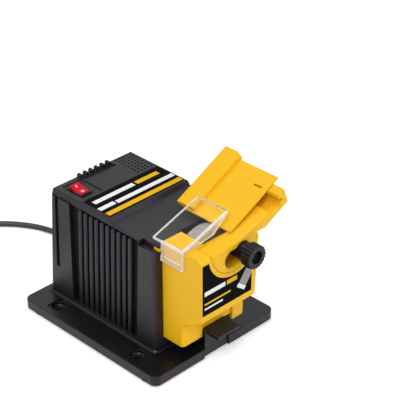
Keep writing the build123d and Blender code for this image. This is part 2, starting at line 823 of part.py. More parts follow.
# Top cover: cap, deck and the skirt that drops inside the shell
with BuildPart() as top_cover:
    cover_sides = (
        (housing_front, housing_top),
        (housing_front, housing_top + deck_front_height),
        (cap_front - deck_step_length, housing_top + deck_back_height),
        (cap_front, cap_top),
        (cap_back, cap_top),
        (housing_top_back, housing_top),
    )
    extrude(outline(Plane.YZ, *cover_sides), amount=cover_side, both=True)
    for side in (-1, 1):
        notch, notch_height = block(
            sorted((side * (cover_side - cover_notch_width), side * (cover_side + overrun))),
            (housing_front - overrun, housing_front + cover_notch_depth),
            (housing_top, cap_top),
        )
        extrude(notch, amount=notch_height, mode=Mode.SUBTRACT)
        rebate, rebate_height = block(
            sorted((side * (rim_inside - cover_rim_gap), side * (cover_side + overrun))),
            (housing_front + cover_notch_depth, housing_back),
            (housing_top - overrun, housing_rim + cover_rim_gap),
        )
        extrude(rebate, amount=rebate_height, mode=Mode.SUBTRACT)
    fillet(top_cover.faces().sort_by(Axis.Z)[-1].edges(), cap_edge_r)
    with BuildSketch(Plane.YZ):
        with BuildLine():
            Polyline(*cover_sides, close=True)
        make_face()
        offset(amount=-cover_wall, kind=Kind.INTERSECTION, mode=Mode.REPLACE)
    skirt_half = housing_inside - cover_skirt_gap
    hollow_half = skirt_half - cover_skirt_wall
    extrude(amount=hollow_half, both=True, mode=Mode.SUBTRACT)
    mouth, mouth_height = block(
        (-hollow_half, hollow_half),
        (housing_front + cover_wall, cap_back - cover_wall),
        (housing_top - overrun, housing_top + cover_wall + moving_gap),
    )
    extrude(mouth, amount=mouth_height, mode=Mode.SUBTRACT)
    skirt_front = housing_front + housing_wall + cover_skirt_gap
    skirt_back = housing_top_back - housing_wall - cover_skirt_gap
    with BuildSketch(Plane.XY.offset(housing_top + cover_wall)):
        with Locations((0, (skirt_front + skirt_back) / 2)):
            Rectangle(2 * skirt_half, skirt_back - skirt_front)
            Rectangle(
                2 * (skirt_half - cover_skirt_wall),
                skirt_back - skirt_front - 2 * cover_skirt_wall,
                mode=Mode.SUBTRACT,
            )
    extrude(amount=-(cover_wall + cover_skirt_depth))
    wheel_room, wheel_room_height = block(
        (-wheel_opening_left, wheel_opening_left),
        (housing_front - overrun, housing_front + deck_notch_depth),
        (housing_top, cap_top),
    )
    extrude(wheel_room, amount=wheel_room_height, mode=Mode.SUBTRACT)
    for side in (-1, 1):
        ear_room, ear_room_height = block(
            sorted((side * (body_half_width - body_wall - ear_gap), side * (cover_side + overrun))),
            (housing_front - overrun, housing_front + ear_length + ear_gap),
            (ear_low - ear_gap, ear_high + ear_gap),
        )
        extrude(ear_room, amount=ear_room_height, mode=Mode.SUBTRACT)
    with BuildSketch(front_plane(cap_back)):
        with Locations((tooth_centre_x, cap_top + tooth_rise)):
            with GridLocations(tooth_pitch, 0, tooth_count, 1):
                Circle(tooth_r)
    extrude(amount=tooth_length)
    with BuildSketch(Plane.XY.offset(cap_top)):
        with Locations((trough_centre_x, cap_back - trough_back_gap)):
            SlotOverall(trough_length, trough_width)
    extrude(amount=-trough_depth, mode=Mode.SUBTRACT)
    with BuildSketch(Plane.XY.offset(cap_top)):
        with Locations((cover_side - dimple_inset_x, cap_back - dimple_inset_y)):
            with GridLocations(dimple_pitch, dimple_pitch, dimple_columns, dimple_rows):
                Rectangle(dimple_size, dimple_size)
    extrude(amount=-dimple_depth, mode=Mode.SUBTRACT)
    with BuildSketch(Plane.XY.offset(cap_top)):
        with Locations((switch_x + switch_panel_shift, switch_y)):
            Rectangle(switch_panel_width, switch_panel_depth)
    extrude(amount=-switch_panel_recess, mode=Mode.SUBTRACT)
    with BuildSketch(Plane.XY.offset(cap_top)):
        with Locations((switch_x, switch_y)):
            Rectangle(switch_body_width + 2 * seat_gap, switch_body_depth + 2 * seat_gap)
    extrude(amount=-(cap_height + cover_skirt_depth), mode=Mode.SUBTRACT)
keep(top_cover, "top_cover")

with BuildPart() as cap_label:
    label_middle = cap_front + cap_label_front_gap + cap_label_depth / 2
    with BuildSketch(Plane.XY.offset(cap_top)):
        with Locations((0, label_middle)):
            Rectangle(2 * (cover_side - cap_label_inset), cap_label_depth)
    extrude(amount=label_thickness)
keep(cap_label, "cap_label")

# Rocker switch: frame with its flange on the panel, rocker on a pin, and the contact tabs below
with BuildPart() as switch_frame:
    with BuildSketch(Plane.XY.offset(switch_floor)):
        with Locations((switch_x, switch_y)):
            Rectangle(switch_flange_width, switch_flange_depth)
    extrude(amount=switch_flange_height)
    with BuildSketch(Plane.XY.offset(switch_floor)):
        with Locations((switch_x, switch_y)):
            Rectangle(switch_body_width, switch_body_depth)
    extrude(amount=-switch_body_height)
    with BuildSketch(Plane.XY.offset(switch_floor + switch_flange_height)):
        with Locations((switch_x, switch_y)):
            Rectangle(switch_pocket_width, switch_pocket_depth)
    extrude(amount=-(switch_flange_height + switch_pocket_drop), mode=Mode.SUBTRACT)
    with BuildSketch(Plane.YZ.offset(switch_x)):
        with Locations((switch_y, rocker_axis_z)):
            Circle(rocker_pin_r + running_gap)
    extrude(amount=switch_body_width / 2, both=True, mode=Mode.SUBTRACT)
keep(switch_frame, "switch_frame")

with BuildPart() as switch_rocker:
    tilt = math.radians(rocker_tilt)
    rocker_plane = Plane(
        origin=(switch_x, switch_y, rocker_axis_z),
        x_dir=(0, math.cos(tilt), math.sin(tilt)),
        z_dir=(1, 0, 0),
    )
    rocker_side = outline(
        rocker_plane,
        (-rocker_length / 2, 0),
        (-rocker_length / 2, rocker_end_height),
        (0, rocker_mid_height),
        (rocker_length / 2, rocker_end_height),
        (rocker_length / 2, 0),
        (rocker_belly_length / 2, -rocker_belly),
        (-rocker_belly_length / 2, -rocker_belly),
    )
    extrude(rocker_side, amount=rocker_width / 2, both=True)
    with BuildSketch(Plane.YZ.offset(switch_x)):
        with Locations((switch_y, rocker_axis_z)):
            Circle(rocker_pin_r)
    extrude(amount=switch_body_width / 2, both=True)
keep(switch_rocker, "switch_rocker")

with BuildPart() as switch_terminals:
    with BuildSketch(Plane.XY.offset(switch_body_low)):
        with Locations((switch_x, switch_y)):
            with GridLocations(0, terminal_pitch, 1, 3):
                Rectangle(terminal_width, terminal_thickness)
    extrude(amount=-terminal_length)
keep(switch_terminals, "switch_terminals")

# Motor: stator between two brackets that span the shell, drawn up by four through bolts
with BuildPart() as stator:
    with BuildSketch(front_plane(stator_back)):
        with Locations((0, motor_z)):
            RectangleRounded(stator_width, stator_height, stator_corner_r)
            Circle(rotor_r + stator_gap, mode=Mode.SUBTRACT)
        with Locations(*motor_bolt_places):
            Circle(motor_bolt_r + seat_gap, mode=Mode.SUBTRACT)
    extrude(amount=stator_length)
keep(stator, "stator")

with BuildPart() as field_windings:
    extrude(ring(stator_back + winding_length, winding_outer_r, winding_inner_r), amount=winding_length)
    extrude(ring(stator_front, winding_outer_r, winding_inner_r), amount=winding_length)
    fillet(field_windings.edges().filter_by(GeomType.CIRCLE), winding_edge_r)
keep(field_windings, "field_windings")


def bracket_face(y, hole_r):
    """Bracket that spans the shell under the cover's skirt, with a neck over the upper bolts."""
    low = motor_z - bracket_reach_low
    shoulder = motor_z + bracket_reach_high
    neck = motor_z + bracket_neck_reach
    half_neck = bracket_neck_width / 2
    with BuildSketch(front_plane(y)) as made:
        with BuildLine():
            Polyline(
                (-housing_inside, low),
                (housing_inside, low),
                (housing_inside, shoulder),
                (half_neck, shoulder),
                (half_neck, neck),
                (-half_neck, neck),
                (-half_neck, shoulder),
                (-housing_inside, shoulder),
                close=True,
            )
        make_face()
        with Locations((0, motor_z)):
            Circle(hole_r, mode=Mode.SUBTRACT)
        with Locations(*motor_bolt_places):
            Circle(motor_bolt_r + seat_gap, mode=Mode.SUBTRACT)
    return made.sketch


rear_bracket_back = rear_bracket_front + bracket_thickness
with BuildPart() as rear_bracket:
    extrude(bracket_face(rear_bracket_back, bearing_r + seat_gap), amount=bracket_thickness)
keep(rear_bracket, "rear_bracket")

with BuildPart() as front_bracket:
    extrude(bracket_face(front_bracket_back, front_bracket_hole_r), amount=front_bracket_thickness)
keep(front_bracket, "front_bracket")

front_bracket_front = front_bracket_back - front_bracket_thickness
with BuildPart() as motor_bolts:
    with BuildSketch(front_plane(rear_bracket_back)):
        with Locations(*motor_bolt_places):
            Circle(motor_bolt_r)
    extrude(amount=rear_bracket_back - front_bracket_front)
    with BuildSketch(front_plane(front_bracket_front)):
        with Locations(*motor_bolt_places):
            Circle(motor_bolt_head_r)
    extrude(amount=motor_bolt_head)
    with BuildSketch(front_plane(rear_bracket_back + motor_bolt_head)):
        with Locations(*motor_bolt_places):
            RegularPolygon(motor_bolt_head_r, 6)
    extrude(amount=motor_bolt_head)
keep(motor_bolts, "motor_bolts")

with BuildPart() as motor_spacers:
    for start, end in ((rear_bracket_front, stator_back), (stator_front, front_bracket_back)):
        with BuildSketch(front_plane(start)):
            with Locations(*motor_bolt_places):
                Circle(spacer_r)
                Circle(motor_bolt_r + seat_gap, mode=Mode.SUBTRACT)
        extrude(amount=start - end)
keep(motor_spacers, "motor_spacers")


def bearing_solid(back):
    """Profile of a ball bearing, with its shield grooves, for a turn about the motor axis."""
    front = back - bearing_width
    inner = shaft_r + running_gap
    points = (
        (front, inner),
        (front, bearing_groove_r),
        (front + bearing_groove_depth, bearing_groove_r),
        (front + bearing_groove_depth, (bearing_groove_r + bearing_r) / 2),
        (front, (bearing_groove_r + bearing_r) / 2),
        (front, bearing_r),
        (back, bearing_r),
        (back, inner),
    )
    return outline(Plane.YZ.offset(0), *[(y, motor_z + r) for y, r in points])


motor_axis = Axis((0, 0, motor_z), (0, 1, 0))
bearing_back = rear_bracket_front + bearing_width
with BuildPart() as front_bearing:
    revolve(bearing_solid(boss_back), axis=motor_axis)
keep(front_bearing, "front_bearing")

with BuildPart() as rear_bearing:
    revolve(bearing_solid(bearing_back), axis=motor_axis)
keep(rear_bearing, "rear_bearing")

# Carbon brushes and their holders, level with the commutator, carried by arms of the rear bracket's size
brush_y = (commutator_front + commutator_back) / 2
brush_start = commutator_r + brush_gap
holder_start = commutator_r + brush_holder_gap
with BuildPart() as carbon_brushes:
    for side in (-1, 1):
        with BuildSketch(Plane.YZ.offset(side * brush_start)):
            with Locations((brush_y, motor_z)):
                Rectangle(brush_width, brush_height)
        extrude(amount=side * brush_length)
keep(carbon_brushes, "carbon_brushes")

with BuildPart() as brush_holders:
    for side in (-1, 1):
        with BuildSketch(Plane.YZ.offset(side * holder_start)):
            with Locations((brush_y, motor_z)):
                Rectangle(brush_width + 2 * brush_holder_wall, brush_height + 2 * brush_holder_wall)
                Rectangle(brush_width + 2 * seat_gap, brush_height + 2 * seat_gap, mode=Mode.SUBTRACT)
        extrude(amount=side * brush_holder_length)
        holder_back = brush_y + brush_width / 2 + brush_holder_wall
        holder_arm, holder_arm_height = block(
            sorted((side * holder_start, side * (holder_start + brush_holder_length))),
            (holder_back, rear_bracket_front),
            (motor_z - brush_height / 2, motor_z + brush_height / 2),
        )
        extrude(holder_arm, amount=holder_arm_height)
keep(brush_holders, "brush_holders")

# Rotor: everything that turns on the shaft
with BuildPart() as rotor_shaft:
    extrude(ring(bearing_back, shaft_r), amount=bearing_back - shaft_front)
    chamfer(rotor_shaft.edges().group_by(Axis.Y)[0], shaft_nut_tail)
keep(rotor_shaft, "rotor_shaft")

with BuildPart() as rotor_core:
    with BuildSketch(front_plane(stator_back)):
        with Locations((0, motor_z)):
            Circle(rotor_r)
            Circle(shaft_r, mode=Mode.SUBTRACT)
            with PolarLocations(rotor_r - rotor_slot_depth / 2, rotor_slot_count):
                Rectangle(rotor_slot_depth + moving_gap, rotor_slot_width, mode=Mode.SUBTRACT)
    extrude(amount=stator_length)
keep(rotor_core, "rotor_core")

with BuildPart() as rotor_windings:
    extrude(ring(stator_back + rotor_winding_length, rotor_winding_r, shaft_r), amount=rotor_winding_length)
    extrude(ring(stator_front, rotor_winding_r, shaft_r), amount=rotor_winding_length)
keep(rotor_windings, "rotor_windings")

with BuildPart() as commutator:
    extrude(ring(commutator_back, commutator_r, shaft_r), amount=commutator_length)
keep(commutator, "commutator")

fan_back = front_bracket_front - fan_gap
with BuildPart() as cooling_fan:
    extrude(ring(fan_back, fan_hub_r, shaft_r), amount=fan_length)
    extrude(ring(fan_back, fan_r, shaft_r), amount=fan_plate)
    blade_span = fan_r - fan_hub_r + fan_blade_overlap
    with BuildSketch(front_plane(fan_back)):
        with Locations((0, motor_z)):
            with PolarLocations(fan_r - blade_span / 2, fan_blades):
                Rectangle(blade_span, fan_blade_thickness)
    extrude(amount=fan_length)
keep(cooling_fan, "cooling_fan")

with BuildPart() as wheel_collar:
    collar_back = housing_front - moving_gap
    extrude(ring(collar_back, collar_stub_r, shaft_r), amount=collar_back - wheel_back)
    extrude(ring(wheel_back + washer_thickness, collar_r, shaft_r), amount=washer_thickness)
keep(wheel_collar, "wheel_collar")

with BuildPart() as grinding_wheel:
    extrude(ring(wheel_back, wheel_r, shaft_r), amount=wheel_thickness)
    fillet(grinding_wheel.edges().filter_by(GeomType.CIRCLE).sort_by(SortBy.RADIUS)[-2:], wheel_edge_r)
    extrude(ring(washer_back, wheel_recess_r, shaft_r), amount=wheel_recess_depth, mode=Mode.SUBTRACT)
keep(grinding_wheel, "grinding_wheel")

with BuildPart() as wheel_washer:
    extrude(ring(washer_back, washer_r, shaft_r), amount=washer_thickness)
keep(wheel_washer, "wheel_washer")

with BuildPart() as wheel_nut:
    with BuildSketch(front_plane(nut_back)):
        with Locations((0, motor_z)):
            RegularPolygon(nut_across_flats / 2, 6, major_radius=False)
            Circle(shaft_r, mode=Mode.SUBTRACT)
    extrude(amount=nut_height)
keep(wheel_nut, "wheel_nut")

# Attachment body: hollow box against the housing, with an overhang that seats the arm
with BuildPart() as attachment_body:
    leg_low = base_top + body_leg_low
    body_sides = (
        (housing_front, leg_low),
        (body_front, leg_low),
        (body_front, overhang_back_low),
        (overhang_front, overhang_front_low),
        (overhang_front, body_top),
        (housing_front, body_top),
    )
    side_face = outline(Plane.YZ.offset(-body_half_width), *body_sides)
    extrude(side_face, amount=body_half_width + overhang_right_high)
    right_side = outline(
        front_plane(body_front),
        (overhang_right_low - overhang_right_chamfer, overhang_back_low - overrun),
        (overhang_right_low - overhang_right_chamfer, overhang_front_low),
        (overhang_right_low, overhang_front_low + overhang_right_chamfer),
        (overhang_right_high, body_top + overrun),
        (body_half_width + overrun, body_top + overrun),
        (body_half_width + overrun, overhang_back_low - overrun),
    )
    extrude(right_side, amount=overhang_depth, mode=Mode.SUBTRACT)
    right_box, right_box_height = block(
        (0, body_half_width), (body_front, housing_front), (leg_low, right_wall_top)
    )
    extrude(right_box, amount=right_box_height)
    front_top = attachment_body.edges().filter_by(Axis.X).group_by(Axis.Y)[0].sort_by(Axis.Z)[-1]
    chamfer(front_top, overhang_edge_chamfer)
    pad_front = body_front - leg_step
    for inner, outer, slant in (
        (-left_leg_inner, -body_half_width, leg_chamfer),
        (right_leg_inner, body_half_width, -leg_chamfer),
    ):
        leg_pad = outline(
            Plane.XY.offset(leg_low),
            (inner, body_front),
            (inner, pad_front),
            (outer + slant, pad_front),
            (outer, body_front),
        )
        extrude(leg_pad, amount=leg_height)
    inside = body_half_width - body_wall
    cavity_front = pocket_back + body_wall
    roof = body_top - body_wall
    for span, reach in (
        ((-inside, overhang_right_low - body_wall), cavity_front),
        ((0, inside), body_front + body_wall),
    ):
        cavity, cavity_height = block(
            span, (reach, housing_front + overrun), (overhang_front_low, roof)
        )
        extrude(cavity, amount=cavity_height, mode=Mode.SUBTRACT)
    lower, lower_height = block(
        (-inside, inside), (body_front + body_wall, housing_front + overrun), (base_top, roof)
    )
    extrude(lower, amount=lower_height, mode=Mode.SUBTRACT)
    opening, opening_height = block(
        (-wheel_opening_left, body_half_width + overrun),
        (cavity_front, housing_front + overrun),
        (right_wall_top, body_top + overrun),
    )
    extrude(opening, amount=opening_height, mode=Mode.SUBTRACT)
    notch, notch_height = block(
        (-left_leg_inner, right_leg_inner),
        (body_front - leg_step - overrun, body_front + body_wall + overrun),
        (base_top, base_top + keeper_height),
    )
    extrude(notch, amount=notch_height, mode=Mode.SUBTRACT)
    shell_low = overhang_front_low + body_wall
    with BuildSketch(front_plane(cavity_front)):
        with BuildLine():
            Polyline(
                (-inside, shell_low),
                (overhang_right_low - body_wall, shell_low),
                (overhang_right_low - body_wall, pivot_z),
                (-inside, pivot_z),
                close=True,
            )
        make_face()
        with Locations((pivot_x, pivot_z)):
            Circle(heel_r + moving_gap + body_wall, mode=Mode.SUBTRACT)
        with Locations((0, body_top)):
            Rectangle(2 * body_half_width, 2 * (body_wall + overhang_edge_chamfer), mode=Mode.SUBTRACT)
    extrude(amount=cavity_front - overhang_front - body_wall, mode=Mode.SUBTRACT)
    with BuildSketch(front_plane(pocket_back)):
        with Locations((pivot_x, pivot_z)):
            Circle(heel_r + moving_gap)
    extrude(amount=pocket_back - overhang_front + overrun, mode=Mode.SUBTRACT)
    upright_top, upright_top_height = block(
        (pivot_x, body_half_width + overrun),
        (overhang_front - overrun, body_front),
        (pivot_z + heel_r * math.sin(math.radians(heel_right_angle)) - moving_gap, body_top + overrun),
    )
    extrude(upright_top, amount=upright_top_height, mode=Mode.SUBTRACT)
    wall_trim, wall_trim_height = block(
        (-wheel_opening_left, body_half_width + overrun),
        (pocket_back - seat_gap, cavity_front + overrun),
        (body_top - pocket_wall_drop, body_top + overrun),
    )
    extrude(wall_trim, amount=wall_trim_height, mode=Mode.SUBTRACT)
    with BuildSketch(front_plane(cavity_front + overrun)):
        with Locations((clamp_x, clamp_z)):
            Circle(clamp_bolt_r + seat_gap)
    extrude(amount=body_wall + 2 * overrun, mode=Mode.SUBTRACT)
    for side in (-1, 1):
        ear, ear_rise = block(
            sorted((side * inside, side * (body_half_width + ear_reach))),
            (housing_front, housing_front + ear_length),
            (ear_low, ear_high),
        )
        extrude(ear, amount=ear_rise)
        ear_root, ear_root_rise = block(
            sorted((side * inside, side * body_half_width)),
            (housing_front - body_wall, housing_front),
            (ear_low - body_wall, ear_high),
        )
        extrude(ear_root, amount=ear_root_rise)
keep(attachment_body, "attachment_body")

with BuildPart() as front_label:
    low = body_top - front_label_low_drop
    high = body_top - front_label_high_drop
    right_high = body_top - front_label_right_drop
    with BuildSketch(front_plane(overhang_front)):
        with BuildLine():
            Polyline(
                (-front_label_left, low),
                (front_label_right - front_label_corner, low),
                (front_label_right, low + front_label_corner),
                (front_label_right, right_high),
                (pivot_x, right_high),
                (pivot_x, high),
                (-front_label_left, high),
                close=True,
            )
        make_face()
        with Locations((pivot_x, pivot_z)):
            Circle(front_label_arc_r, mode=Mode.SUBTRACT)
    extrude(amount=label_thickness)
keep(front_label, "front_label")

# Tilting arm
clamp_arc = CenterArc((0, 0), clamp_arc_r, clamp_arc_start - guide_tilt, clamp_arc_end - clamp_arc_start)
with BuildPart() as tilt_arm:
    heel_left = on_slope(heel_left_angle, heel_r)
    heel_low = on_slope((heel_left_angle + heel_right_angle) / 2, heel_r)
    heel_right = on_slope(heel_right_angle, heel_r)
    kink = carriage_low - arm_top_gap
    channel_end = channel_start + channel_width
    with BuildSketch(guide_plane(arm_back)):
        with BuildLine():
            ThreePointArc(heel_left, heel_low, heel_right)
            Polyline(
                heel_right,
                (rail_start, arm_bottom),
                (rail_end_low, arm_bottom),
                (rail_end_top, rail_top),
                (channel_end + channel_lean, rail_top),
                (channel_end, channel_floor),
                (channel_start, channel_floor),
                (channel_start, ramp_top),
                (arm_kink_u, kink),
                heel_left,
            )
        make_face()
        SlotArc(clamp_arc, 2 * clamp_slot_inner_half, mode=Mode.SUBTRACT)
    extrude(amount=arm_thickness)
    with BuildSketch(guide_plane(arm_front + clamp_slot_depth)):
        SlotArc(clamp_arc, 2 * clamp_slot_half)
    extrude(amount=clamp_slot_depth, mode=Mode.SUBTRACT)
    front_edges = tilt_arm.faces().sort_by(Axis.Y)[0].edges()
    fillet(front_edges, arm_edge_r)
    rail_face = outline(
        guide_plane(rail_back),
        (rail_start, arm_bottom),
        (rail_end_low, arm_bottom),
        (rail_end_top, rail_top),
        (channel_end + channel_lean, rail_top),
        (channel_end, channel_floor),
        (channel_start, channel_floor),
        (channel_start, rail_top),
        (rail_start, rail_top),
    )
    extrude(rail_face, amount=rail_length)
    groove_low = channel_groove_top - channel_groove_width
    groove_face = outline(
        guide_plane(rail_back + overrun),
        (channel_end - moving_gap, groove_low),
        (channel_end + channel_lean + channel_groove_depth, groove_low),
        (channel_end + channel_lean + channel_groove_depth, channel_groove_top),
        (channel_end - moving_gap, channel_groove_top),
    )
    extrude(groove_face, amount=rail_length + arm_thickness + 2 * overrun, mode=Mode.SUBTRACT)
keep(tilt_arm, "tilt_arm")

# Guide carriage: plate under the blade, fence along its back edge, and a tongue below in the rail
with BuildPart() as guide_carriage:
    fence_front = carriage_back - fence_width
    blade_plate = outline(
        slope_plane(carriage_low),
        (plate_start, carriage_front),
        (plate_end, carriage_front),
        (plate_end, carriage_back - fence_width / 2),
        (plate_start, carriage_back - fence_width / 2),
    )
    extrude(blade_plate, amount=plate_thickness)
    with BuildSketch(slope_plane(carriage_low)):
        with Locations((plate_slit_start, carriage_front + plate_slit_inset)):
            Rectangle(plate_slit_length, plate_slit_width, align=(Align.MIN, Align.MIN))
    extrude(amount=plate_thickness, mode=Mode.SUBTRACT)
    fence = outline(
        slope_plane(carriage_low),
        (fence_start, fence_front),
        (fence_end - fence_corner_cut, fence_front),
        (fence_end, fence_front + fence_corner_run),
        (fence_end, carriage_back),
        (fence_start, carriage_back),
    )
    extrude(fence, amount=fence_height)
    across = Axis((0, 0, 0), slope_plane(0).z_dir)
    fillet(guide_carriage.faces().sort_by(across)[-1].edges(), fence_edge_r)
    pocket_low = carriage_low + (fence_height - end_pocket_height) / 2
    end_pocket = outline(
        guide_plane(carriage_back - end_pocket_inset),
        (fence_start - overrun, pocket_low),
        (fence_start + end_pocket_depth, pocket_low),
        (fence_start + end_pocket_depth, pocket_low + end_pocket_height),
        (fence_start - overrun, pocket_low + end_pocket_height),
    )
    extrude(end_pocket, amount=end_pocket_width, mode=Mode.SUBTRACT)
    tongue_low = channel_floor + tongue_floor_gap
    lip_end = channel_end + channel_lean + channel_groove_depth - 2 * tongue_gap
    tongue_face = outline(
        guide_plane(carriage_back - tongue_back_inset),
        (channel_start + tongue_gap, carriage_low),
        (channel_start + tongue_gap, tongue_low),
        (channel_end - tongue_gap, tongue_low),
        (channel_end - tongue_gap, groove_low + tongue_gap),
        (lip_end, groove_low + tongue_gap),
        (lip_end, channel_groove_top - tongue_gap),
        (channel_end - tongue_gap, channel_groove_top - tongue_gap),
        (channel_end - tongue_gap, carriage_low),
    )
    extrude(tongue_face, amount=carriage_width - tongue_back_inset - tongue_front_inset)
keep(guide_carriage, "guide_carriage")

# Eye guard: sloping window, lip down the left wall, and a gusset along its front edge
with BuildPart() as eye_guard:
    left_high = body_top + guard_left_rise
    right_high = body_top + guard_right_rise
    sheet = outline(
        front_plane(guard_back),
        (-guard_left_x, left_high - guard_thickness),
        (-guard_left_x, left_high),
        (guard_right_x, right_high),
        (guard_right_x, right_high - guard_thickness),
    )
    extrude(sheet, amount=guard_width)
    lip, lip_height = block(
        (-guard_left_x, -body_half_width - guard_lift),
        (guard_front, housing_front - guard_lip_gap),
        (body_top - guard_lip_drop, left_high - guard_thickness / 2),
    )
    extrude(lip, amount=lip_height)
    hem, hem_height = block(
        (-guard_left_x - guard_hem, -body_half_width - guard_lift),
        (guard_front, housing_front - guard_lip_gap),
        (body_top - guard_lip_drop, body_top - guard_lip_drop + guard_hem_height),
    )
    extrude(hem, amount=hem_height)
    gusset = outline(
        front_plane(guard_front + guard_thickness),
        (-guard_left_x, left_high - guard_thickness / 2),
        (-body_half_width, body_top + guard_lift),
        (-gusset_left_x, body_top + guard_lift),
        (-gusset_mid_x, body_top + gusset_mid_rise),
        (guard_right_x, right_high - guard_thickness / 2),
    )
    extrude(gusset, amount=guard_thickness)
keep(eye_guard, "eye_guard")

# Clamp bolt and knob
with BuildPart() as clamp_bolt:
    with BuildSketch(front_plane(cavity_front + clamp_bolt_head)):
        with Locations((clamp_x, clamp_z)):
            RegularPolygon(clamp_bolt_head_r, 6)
    extrude(amount=clamp_bolt_head)
    with BuildSketch(front_plane(cavity_front)):
        with Locations((clamp_x, clamp_z)):
            Circle(clamp_bolt_r)
    extrude(amount=cavity_front - knob_front - knob_recess_depth - clamp_bolt_inset)
keep(clamp_bolt, "clamp_bolt")

with BuildPart() as clamp_knob:
    with BuildSketch(front_plane(knob_back)):
        with Locations((clamp_x, clamp_z)):
            Circle(knob_r)
            with PolarLocations(knob_r, knob_rib_count):
                Circle(knob_rib_r)
    extrude(amount=knob_length)
    with BuildSketch(front_plane(knob_back + knob_hub_length)):
        with Locations((clamp_x, clamp_z)):
            Circle(knob_hub_r)
    extrude(amount=knob_hub_length)
    with BuildSketch(front_plane(knob_front)):
        with Locations((clamp_x, clamp_z)):
            Circle(knob_recess_r)
    extrude(amount=-knob_recess_depth, mode=Mode.SUBTRACT)
    with BuildSketch(front_plane(knob_back + knob_hub_length)):
        with Locations((clamp_x, clamp_z)):
            Circle(clamp_bolt_r + knob_bore_gap)
    bore_length = knob_hub_length + knob_length - knob_recess_depth - clamp_bolt_inset + moving_gap
    extrude(amount=bore_length, mode=Mode.SUBTRACT)
keep(clamp_knob, "clamp_knob")

# Strain relief in the boss at the back of the shell
with BuildPart() as cord_gland:
    gland_points = (
        (housing_back - gland_stem_length, gland_z),
        (housing_back - gland_stem_length, gland_z + gland_stem_r),
        (housing_back, gland_z + gland_stem_r),
        (housing_back, gland_z + gland_collar_r),
        (housing_back + gland_collar, gland_z + gland_collar_r),
        (housing_back + gland_collar, gland_z + gland_sleeve_r),
        (gland_tip_y, gland_z + gland_tip_r),
        (gland_tip_y, gland_z),
    )
    revolve(outline(Plane.YZ.offset(gland_x), *gland_points), axis=Axis((gland_x, 0, gland_z), (0, 1, 0)))
keep(cord_gland, "cord_gland")

# Free stretch of the lead: straight runs joined by arcs as large as the runs allow
route = [Vector(*point) for point in cord_route]
runs = [end - start for start, end in zip(route, route[1:])]
cord_radii = [
    arc_share * min(before.length, after.length) / math.tan(math.radians(before.get_angle(after)) / 2)
    for before, after in zip(runs, runs[1:])
]
print("cord radii", [round(radius, 1) for radius in cord_radii])
with BuildPart() as cord_tube:
    with BuildLine() as cord_line:
        FilletPolyline(*route, radius=cord_radii)
    with BuildSketch(Plane(origin=route[0], z_dir=runs[0])):
        Circle(cord_r)
    sweep(path=cord_line.wire())
keep(cord_tube, "cord_tube")
cord_section = math.pi * cord_r**2
free_length = cord_line.wire().length
print("cord volume share", round(cord_tube.part.volume / (cord_section * free_length), 4))

# Coil of the rest: spirals in on the lower layer, climbs in half a turn, spirals out on the upper one
coil_start = route[-1]
coil_way = runs[-1].normalized()
coil_outer_r = coil_inner_r + coil_half_turns * coil_turn_pitch / 2
coil_centre = coil_start + Vector(-coil_way.Y, coil_way.X, 0) * coil_outer_r
first_spoke = coil_start - coil_centre
first_angle = math.atan2(first_spoke.Y, first_spoke.X)
last_angle = first_angle + 2 * coil_half_turns * math.pi
last_angle += (math.radians(coil_end_angle) - last_angle) % (2 * math.pi)
coil_steps = [*range(2 * coil_half_turns + 1), (last_angle - first_angle) / math.pi]


def coil_node(step):
    """Point of the coil and its way, after so many half turns."""
    angle = first_angle + step * math.pi
    out_steps = max(step - coil_half_turns - 1, 0)
    in_steps = min(step, coil_half_turns)
    radius = coil_outer_r + (out_steps - in_steps) * coil_turn_pitch / 2
    rise = coil_layer_rise if step > coil_half_turns else 0
    spoke = Vector(math.cos(angle), math.sin(angle), 0)
    way = Vector(-math.sin(angle), math.cos(angle), 0)
    return coil_centre + spoke * radius + Vector(0, 0, rise), way


coil_nodes = [coil_node(step) for step in coil_steps]
coil_end, coil_end_way = coil_nodes[-1]
plug_start = coil_end + coil_end_way * coil_end_straight
with BuildPart() as cord_coil:
    with BuildLine() as coil_line:
        for (start, start_way), (end, end_way) in zip(coil_nodes, coil_nodes[1:]):
            middle, middle_way = biarc(start, start_way, end, end_way)
            TangentArc(start, middle, tangent=start_way)
            TangentArc(middle, end, tangent=middle_way)
        Line(coil_end, plug_start)
    with BuildSketch(Plane(origin=coil_start, z_dir=coil_way)):
        Circle(cord_r)
    sweep(path=coil_line.wire())
keep(cord_coil, "cord_coil")
coil_length = coil_line.wire().length
print("coil volume share", round(cord_coil.part.volume / (cord_section * coil_length), 4))
print("cord length", round(free_length + coil_length, 1))
coil_samples = 900
coil_points = [coil_line.wire() @ (k / coil_samples) for k in range(coil_samples + 1)]
sample_step = coil_length / coil_samples
near_steps = int(math.pi * coil_inner_r / sample_step)
least = min(
    (coil_points[k] - other).length
    for k in range(coil_samples + 1)
    for other in coil_points[k + near_steps :]
)
print("coil least gap", round(least - cord_d, 2))

with BuildPart() as cord_tie:
    tie_inner = coil_inner_r - cord_r - tie_gap
    tie_outer = coil_outer_r + cord_r + tie_gap
    tie_low = coil_z - cord_r - tie_gap / 2
    tie_high = coil_z + coil_layer_rise + cord_r + tie_gap
    tie_turn = math.radians(tie_angle)
    tie_way = (math.cos(tie_turn), math.sin(tie_turn), 0)
    tie_plane = Plane(
        origin=(coil_centre.X, coil_centre.Y, 0), x_dir=tie_way, z_dir=(tie_way[1], -tie_way[0], 0)
    )
    with BuildSketch(tie_plane):
        with Locations(((tie_inner + tie_outer) / 2, (tie_low + tie_high) / 2)):
            Rectangle(tie_outer - tie_inner + 2 * tie_thickness, tie_high - tie_low + 2 * tie_thickness)
            Rectangle(tie_outer - tie_inner, tie_high - tie_low, mode=Mode.SUBTRACT)
    extrude(amount=tie_width / 2, both=True)
keep(cord_tie, "cord_tie")

